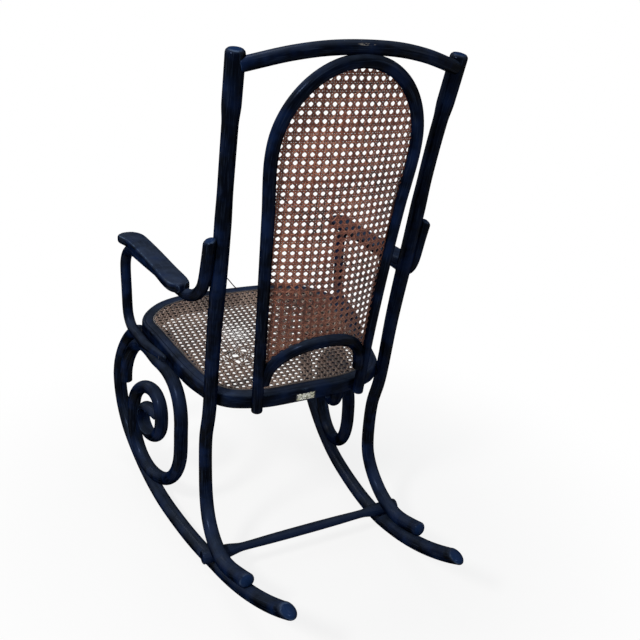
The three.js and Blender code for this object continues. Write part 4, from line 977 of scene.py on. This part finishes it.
def pad_shape():
    """An arm pad: rounded oblong sections set along the arm, whose two sides follow tables of shares."""
    table = np.array([
        [0, 0.32, 0.36], [0.02, 0.54, 0.56], [0.07, 0.66, 0.68], [0.3, 0.68, 0.66], [0.6, 0.72, 0.66],
        [0.83, 0.71, 0.74], [0.9, 0.69, 0.86], [0.95, 0.62, 0.99], [0.98, 0.48, 0.96], [1, 0.3, 0.74],
    ])
    soft, pad_length, pad_flare, pad_half, pad_sink = 6.5, 359, 34, 9.5, 8
    pad_back, pad_side, pad_toe, crown_rise, outer_cut = 45, 246, 0.02, 0.7, 0.4
    run = pad_length - 2 * soft
    inner, outer = table[:, 1] * pad_flare - soft, table[:, 2] * pad_flare - soft - outer_cut
    lay = columns(table[:, 0] * run, inner, outer)
    fine, lengths = fine_curve(lay)
    reach = np.concatenate([np.linspace(0, 0.06, 14), np.linspace(0.08, 0.82, 44), np.linspace(0.84, 1, 34)])
    laid = places_at(fine, lengths, np.interp(reach * run, fine[:, 0], lengths))
    rounding = np.radians([90.0, 75.0, 60.0, 45.0, 30.0, 15.0])
    over = (soft * np.sin(rounding))[:, None] * side_axis
    grow = soft * np.cos(rounding)
    rows = np.vstack([laid[0] - over, laid, laid[-1] + over[::-1]])
    growth = np.concatenate([grow, np.full(len(laid), soft), grow[::-1]])[:, None]
    inner = rows[:, 1:2] + growth
    outer = rows[:, 2:3] + growth
    tall = pad_half - soft + growth
    corner = np.radians(np.linspace(0, 90, 6))
    along_top = np.linspace(1, -1, 9)[1:-1]
    round_in = np.minimum(soft, tall)
    out_arc = outer - round_in + round_in * np.cos(corner)
    top_arc = tall - round_in + round_in * np.sin(corner)
    in_arc = -(inner - round_in + round_in * np.cos(corner))
    middle = (outer - inner) / 2
    half = (outer + inner) / 2 - round_in
    top_x = middle + half * along_top
    top_z = tall + crown_rise * (1 - along_top**2)
    under_z = -tall * np.ones_like(along_top)
    x = np.hstack([out_arc, top_x, in_arc[:, ::-1], in_arc, top_x[:, ::-1], out_arc[:, ::-1]])
    z = np.hstack([top_arc, top_z, top_arc[:, ::-1], -top_arc, under_z, -top_arc[:, ::-1]])
    y = -pad_back - soft - rows[:, :1] * np.ones_like(x)
    base = under_pad[1] + arm_half - pad_sink + pad_half + (under_pad[0] - y) * math.tan(arm_pitch)
    grid = columns(pad_side - pad_toe * y + x, y, base + z)
    # Marks along the rounded rims, which the lacquer lightens into a painted rim highlight.
    rim = np.exp(-(((np.abs(z) - tall + 1.6) / 1.5) ** 2)) * (np.abs(x - middle) > half)
    return tube_shape(grid, metres_along(grid, 1), -y[:, 0] / 1000, rim * 0.8, 0.0)


put_pair("arm_pad_shaped", pad_shape(), pad_lacquer, "arm_pad")


# Cane weaving: two strands up, two across and one each way aslant in every pitch
def inside_reach(points, outline):
    """Signed distance to a closed outline, above zero inside: nearest edge, signed by ray crossings."""
    flat = points.reshape(-1, 2)
    best = np.full(len(flat), np.inf)
    crossings = np.zeros(len(flat), dtype=int)
    for start, end in zip(outline, np.roll(outline, -1, axis=0)):
        run = end - start
        t = np.clip(((flat - start) @ run) / (run @ run), 0, 1)
        best = np.minimum(best, np.linalg.norm(flat - start - t[:, None] * run, axis=1))
        spans = (start[1] > flat[:, 1]) != (end[1] > flat[:, 1])
        rise = run[1] if abs(run[1]) > 1e-9 else 1e-9
        crossings += spans & (flat[:, 0] < start[0] + (flat[:, 1] - start[1]) * run[0] / rise)
    return np.where(crossings % 2 == 1, best, -best).reshape(points.shape[:-1])


def strands(centre, lift, across, outline, place, width, thick, tones, worn):
    """A family of strands: a lens section along rows of flat points, cut where they meet the outline.

    Near a worn spot, by the bell curve of the distance to it, the strands are thinned and wander on
    slow sines of the way along them, each on its own, and all together on sines of their place.
    """
    reach = inside_reach(centre, outline)
    open_at = reach > 0
    narrow = np.ones(lift.shape)
    for spot, radii, thinning, wandering in worn:
        near = np.exp(-np.sum(((centre - spot) / radii) ** 2, axis=-1))
        narrow = narrow * np.clip(1 - thinning * near * seed.uniform(0.6, 1.2, (len(centre), 1)), 0.1, 1)
        way = (centre @ np.array([1.0, 0.83]))[..., None] / seed.uniform(6, 11, (len(centre), 1, 3))
        wander = np.sin(way + seed.uniform(0, 6, (len(centre), 1, 3))) * near[..., None]
        swirl = np.sin(centre @ np.array([[0.17, -0.07], [0.06, 0.21]])) * near[..., None]
        centre = centre + (wander[..., :2] * 0.35 + swirl * 1.3) * wandering
        lift = lift + wander[..., 2] * wandering * 0.4
    moved = centre.copy()
    for shift in (1, -1):
        near = np.roll(open_at, shift, axis=1)
        near[:, 0 if shift == 1 else -1] = False
        edge = near & (reach <= 0)
        inner = np.roll(centre, shift, axis=1)
        inner_reach = np.roll(reach, shift, axis=1)
        portion = (inner_reach / np.maximum(inner_reach - reach, 1e-6))[..., None]
        moved = np.where(edge[..., None], inner + (centre - inner) * portion, moved)
    opens = open_at[:, :-1], open_at[:, 1:]
    reaches = reach[:, :-1], reach[:, 1:]
    far_outside = -30
    kept = (opens[0] | opens[1]) & (reaches[0] > far_outside) & (reaches[1] > far_outside)
    kept &= (opens[0] & opens[1]) | (reaches[0] <= 0) | (reaches[1] <= 0)
    side = np.array([[-0.5, 0], [0, 0.5], [0.5, 0], [0, -0.5]]) * [width, thick]
    flat = moved[:, :, None] + side[:, :1] * across * narrow[:, :, None, None]
    verts = place(flat[..., 0], flat[..., 1], lift[:, :, None] + side[:, 1])
    rows, count = centre.shape[:2]
    ids = np.arange(rows * count * 4).reshape(rows, count, 4)
    before = np.pad(kept, ((0, 0), (1, 0)))[:, :-1]
    after = np.pad(kept, ((0, 0), (0, 1)))[:, 1:]
    starts = ids[:, :-1][kept & ~before][:, ::-1]
    ends = ids[:, 1:][kept & ~after]
    faces = [band(ids[:, :-1][kept], ids[:, 1:][kept]), np.vstack([starts, ends])]
    run = np.cumsum(np.linalg.norm(np.diff(centre, axis=1), axis=-1), axis=1)
    length = np.pad(run, ((0, 0), (1, 0)))[:, :, None] / 1000
    round_it = np.array([0, 0.5, 1, 1.5]) * width / 1000
    uv = columns(round_it, length).reshape(-1, 2)
    used, new_ids = np.unique(np.vstack(faces), return_inverse=True)
    new_ids = new_ids.reshape(-1, 4)
    return {
        "verts": verts.reshape(-1, 3)[used],
        "faces": [new_ids[:len(faces[0])], new_ids[len(faces[0]):]],
        "uvs": [uv[face] for face in faces],
        "marks": np.repeat(tones, count * 4)[used],
    }


def weave(outline, centre_v, place, width, thick, worn=()):
    """The six-way weave. Pairs run up and across, interlaced one over one; the aslant strands cross
    them halfway between, one over the upright pairs and under the level ones, the other the reverse."""
    pitch, pair_gap = 13.7, 0.44
    pair = width * 0.5 + pair_gap / 2
    low, high = outline.min(axis=0) - [0, centre_v], outline.max(axis=0) - [0, centre_v]
    first_u, first_v = (math.floor(edge / pitch) - 1 for edge in low)
    last_u, last_v = (math.ceil(edge / pitch) + 1 for edge in high)
    shapes = []

    def lay(centre, lift, across):
        tones = seed.uniform(0, 1, len(centre))
        shapes.append(strands(centre, lift, across, outline, place, width, thick, tones, worn))

    pairs, stations = [], []
    for first, last, shift in ((first_u, last_u, 0.0), (first_v, last_v, centre_v)):
        cells = np.arange(first, last) + 0.5
        both = [cells * pitch - pair, cells * pitch + pair]
        pairs.append(columns(*both).ravel() + shift)
        stations.append(columns(*both, (cells + 0.5) * pitch).ravel() + shift)
    swayed = [strand + seed.normal(0, 0.16, len(strand)) for strand in pairs]
    for way, sign in ((0, 1), (1, -1)):
        crossed = stations[1 - way]
        flips = np.tile([1.0, -1.0], len(swayed[way]) // 2)
        waves = np.tile([1.0, -1.0, 0.0], len(crossed) // 3)
        places = (swayed[way][:, None], crossed)[::sign]
        lay(columns(*places), sign * flips[:, None] * waves * (thick * 0.5), np.eye(2)[way])
    steps = np.arange(first_u * 4, last_u * 4 + 1) * pitch / 4
    spread = np.arange(first_v - last_u - 2, last_v - first_u + 2) + 0.5
    for slant in (1.0, -1.0):
        sway = seed.normal(0, 0.18, len(spread))
        v = spread[:, None] * pitch + sway[:, None] + slant * steps[None, :] + centre_v
        u = np.broadcast_to(steps, v.shape)
        lift = -slant * np.cos(2 * math.pi * u / pitch) * thick * 1.05
        lay(columns(u, v), lift, unit(np.array([-slant, 1.0])))
    return join_shapes(shapes)


sag, sag_middle, sag_half_width, sag_half_depth = 5.0, -250, 215, 225
seat_sheet_drop, back_sheet_forward = 2.3, 4


def on_seat_sheet(u, v, depth):
    """The seat sheet: flat at its edge, sagging a little to its middle."""
    far = np.clip(1 - (u / sag_half_width) ** 2, 0, 1)
    far = far * np.clip(1 - ((v - sag_middle) / sag_half_depth) ** 2, 0, 1)
    return on_seat(columns(u, v, depth - seat_sheet_drop - sag * far))


# Worn spots: middle and radii on the seat's plane, share of width lost, and how far strands wander
seat_worn = [
    (np.array([62.0, -270.0]), np.array([56.0, 56.0]), 0.55, 0.5),
    (np.array([84.0, -165.0]), np.array([48.0, 36.0]), 0.15, 4.5),
]
seat_weave = weave(ring_line(160, 26)[:, :2], -242.5, on_seat_sheet, 3.6, 1.3, seat_worn)
put("seat_cane_woven", seat_weave, seat_cane, "seat_cane", "seat_cane_panel")
loose_points = [
    [-26, -470, 458.5], [-20.6, -470.4, 463.5], [-12.5, -470.6, 472.5], [-4.5, -470, 483], [3.5, -469, 493],
]
loose_end = rod(loose_points, back_axis, round_section(1.3), sides=8, spacing=2.0, edges=(0.4, 0.4))
put("seat_cane_loose_end", loose_end, stained_reed, "seat_cane")

# The back sheet's outline keeps to the middles of the hoop and the arch, a little inside them.
rim_inset, arch_inset = 2, 1
rim_z = line(hoop_shoulder, arch_foot, np.linspace(0, 1, 24))
lower_angle = math.pi * (1 - np.linspace(0, 1, 30)[1:-1])
upper_angle = math.pi * np.linspace(0, 1, 40)[1:-1]
lower_z = arch_foot + (arch_rise + arch_inset) * np.sin(lower_angle)
upper_z = hoop_shoulder + (hoop_top - hoop_shoulder - rim_inset) * np.sin(upper_angle)
back_outline = np.vstack([
    columns(rim_inset - hoop_half(rim_z), rim_z),
    columns((arch_width - rim_inset) * np.cos(lower_angle), lower_z),
    columns(hoop_half(rim_z[::-1]) - rim_inset, rim_z[::-1]),
    columns((hoop_width - rim_inset) * np.cos(upper_angle), upper_z),
])


def on_back_sheet(u, v, depth):
    """The back sheet: it leans with the hoop and is hollowed across to the sitter's back."""
    s = u / hoop_half(v)
    return columns(u, hoop_back(v) + bow_at(v) * (1 - s * s) - back_sheet_forward + depth, v)


back_weave = weave(back_outline, 730.0, on_back_sheet, 2.9, 0.95)
put("back_cane_woven", back_weave, back_cane, "back_cane", "back_cane_panel")


# Screws and dowels: turned shapes on the axes of their CAD nodes
def axis_of(node):
    """A node's axis: the line through its points' middle along their greatest spread, tip to head."""
    mesh = nodes[node].data
    flat = np.empty(len(mesh.vertices) * 3)
    mesh.vertices.foreach_get("co", flat)
    points = np.unique((flat.reshape(-1, 3) * 1000 - root_shift).round(3), axis=0)
    middle = points.mean(axis=0)
    way = np.linalg.svd(points - middle)[2][0]
    reach = (points - middle) @ way
    out = np.linalg.norm(points - middle - reach[:, None] * way, axis=1)
    span = reach.max() - reach.min()
    wide_high = out[reach > reach.max() - span * 0.12].max()
    wide_low = out[reach < reach.min() + span * 0.12].max()
    if wide_low > wide_high:
        way, reach = -way, -reach
    return middle + way * reach.min(), way, span


def screw_shape(node, sunk):
    """A countersunk screw: a plain shank, a round head and a low dome."""
    tip, way, span = axis_of(node)
    span = span - sunk
    profile = [
        [0, 0], [0, 2.2], [span - 2.9, 2.3], [span - 2.7, 3.8], [span - 0.7, 3.9], [span - 0.3, 3.6],
        [span - 0.1, 2.6], [span, 1.0], [span, 0],
    ]
    return turned_shape(profile, tip, way)


# How much shorter than its CAD node a screw is: the crest's are sunk out of sight, the others a little.
crest_sunk, screw_sunk = 7.0, 1.3
for kind in ("post", "hoop", "foot", "stretcher", "scroll", "curl", "crest", "arch", "bow", "tip"):
    sunk, finish, slot = screw_sunk, blued_steel, "steel"
    if kind == "crest":
        sunk, finish, slot = crest_sunk, rod_lacquer, "lacquer"
    for hand in ("left_", "right_"):
        node = hand + kind + "_screw"
        put(node + "_turned", screw_shape(node, sunk), finish, slot, node)

for end in ("front", "rear"):
    for hand in ("left_", "right_"):
        node = hand + "pad_dowel_" + end
        tip, way, span = axis_of(node)
        if way[2] < 0:
            tip, way = tip + way * span, -way
        profile = [[0, 0], [0, 4.0], [span - 0.5, 4.3], [span - 0.1, 3.9], [span + 0.1, 2.5], [span + 0.2, 0]]
        dowel = turned_shape(profile, tip, way)
        dowel["marks"][:] = 0.35
        put(node + "_turned", dowel, pad_lacquer, "lacquer", node)

for node in ("blank_plate", "left_plate_nail", "right_plate_nail"):
    nodes[node].data.materials.clear()
    nodes[node].data.materials.append(old_brass)


# Floor, backdrop and light
def seen_rays(tree):
    """1 for rays from the camera and for those mirrored or let through, 0 for the rest."""
    rays = tree.nodes.new("ShaderNodeLightPath").outputs
    seen = math_node(tree, "ADD", rays["Is Camera Ray"], rays["Is Glossy Ray"], clamp=True)
    return math_node(tree, "ADD", seen, rays["Is Transmission Ray"], clamp=True)


def mix_into(tree, factor, first, second, output):
    """A mix of two shaders by a factor, led to the output node."""
    mix = tree.nodes.new("ShaderNodeMixShader")
    for socket, value in zip(mix.inputs, (factor, first, second)):
        tree.links.new(value, socket)
    tree.links.new(mix.outputs[0], tree.nodes[output].inputs["Surface"])


def floor_finish():
    """White to the eye, with the chair's shadow kept near it and fading away from it."""
    finish, tree, shader = new_finish("pale_floor")
    tree.nodes.remove(shader)
    plain = tree.nodes.new("ShaderNodeBsdfDiffuse")
    plain.inputs["Color"].default_value = (0.66, 0.66, 0.66, 1)
    white = tree.nodes.new("ShaderNodeEmission")
    far = math_node(tree, "LENGTH", place_on(tree), vector=True)
    shadow = range_node(tree, far, 0.35, 1.1, 0.15, 0.0)
    glow = math_node(tree, "SUBTRACT", seen_rays(tree), shadow, clamp=True)
    mix_into(tree, glow, plain.outputs[0], white.outputs[0], "Material Output")
    return finish


floor_reach, floor_height = 9, -0.0004
floor_corners = [
    (x * floor_reach, y * floor_reach, floor_height) for x, y in ((-1, -1), (1, -1), (1, 1), (-1, 1))
]
floor_mesh = bpy.data.meshes.new("floor")
floor_mesh.from_pydata(floor_corners, [], [(0, 1, 2, 3)])
floor_mesh.materials.append(floor_finish())
floor = add_object("floor", floor_mesh)

world = bpy.data.worlds.new("soft_room")
bpy.context.scene.world = world
world.use_nodes = True
sky = world.node_tree
room = sky.nodes["Background"]
white = sky.nodes.new("ShaderNodeBackground")
for background, colour, strength in ((room, (0.93, 0.96, 1.0, 1), 0.24), (white, (1, 1, 1, 1), 1.0)):
    background.inputs["Color"].default_value = colour
    background.inputs["Strength"].default_value = strength
mix_into(sky, seen_rays(sky), room.outputs[0], white.outputs[0], "World Output")


chair_middle = Vector((0.0, 0.0, 0.55))


def soft_lamp(name, place, size, power, colour):
    """A round lamp that looks at the chair's middle; its place and width in metres, its power in watts."""
    data = bpy.data.lights.new(name, "AREA")
    data.shape = "DISK"
    data.size = size
    data.energy = power
    data.color = colour
    lamp = add_object(name, data)
    lamp.location = place
    lamp.rotation_euler = (chair_middle - Vector(place)).to_track_quat("-Z", "Y").to_euler()


soft_lamp("key_lamp", (2.3, 1.2, 2.6), 0.6, 92, (1.0, 0.98, 0.95))
soft_lamp("fill_lamp", (-2.4, 1.9, 1.7), 1.1, 12, (0.86, 0.93, 1.0))
soft_lamp("top_lamp", (0.3, -0.4, 3.1), 1.0, 24, (0.95, 0.97, 1.0))
soft_lamp("front_lamp", (0.8, -2.8, 1.8), 1.2, 16, (1.0, 0.98, 0.96))
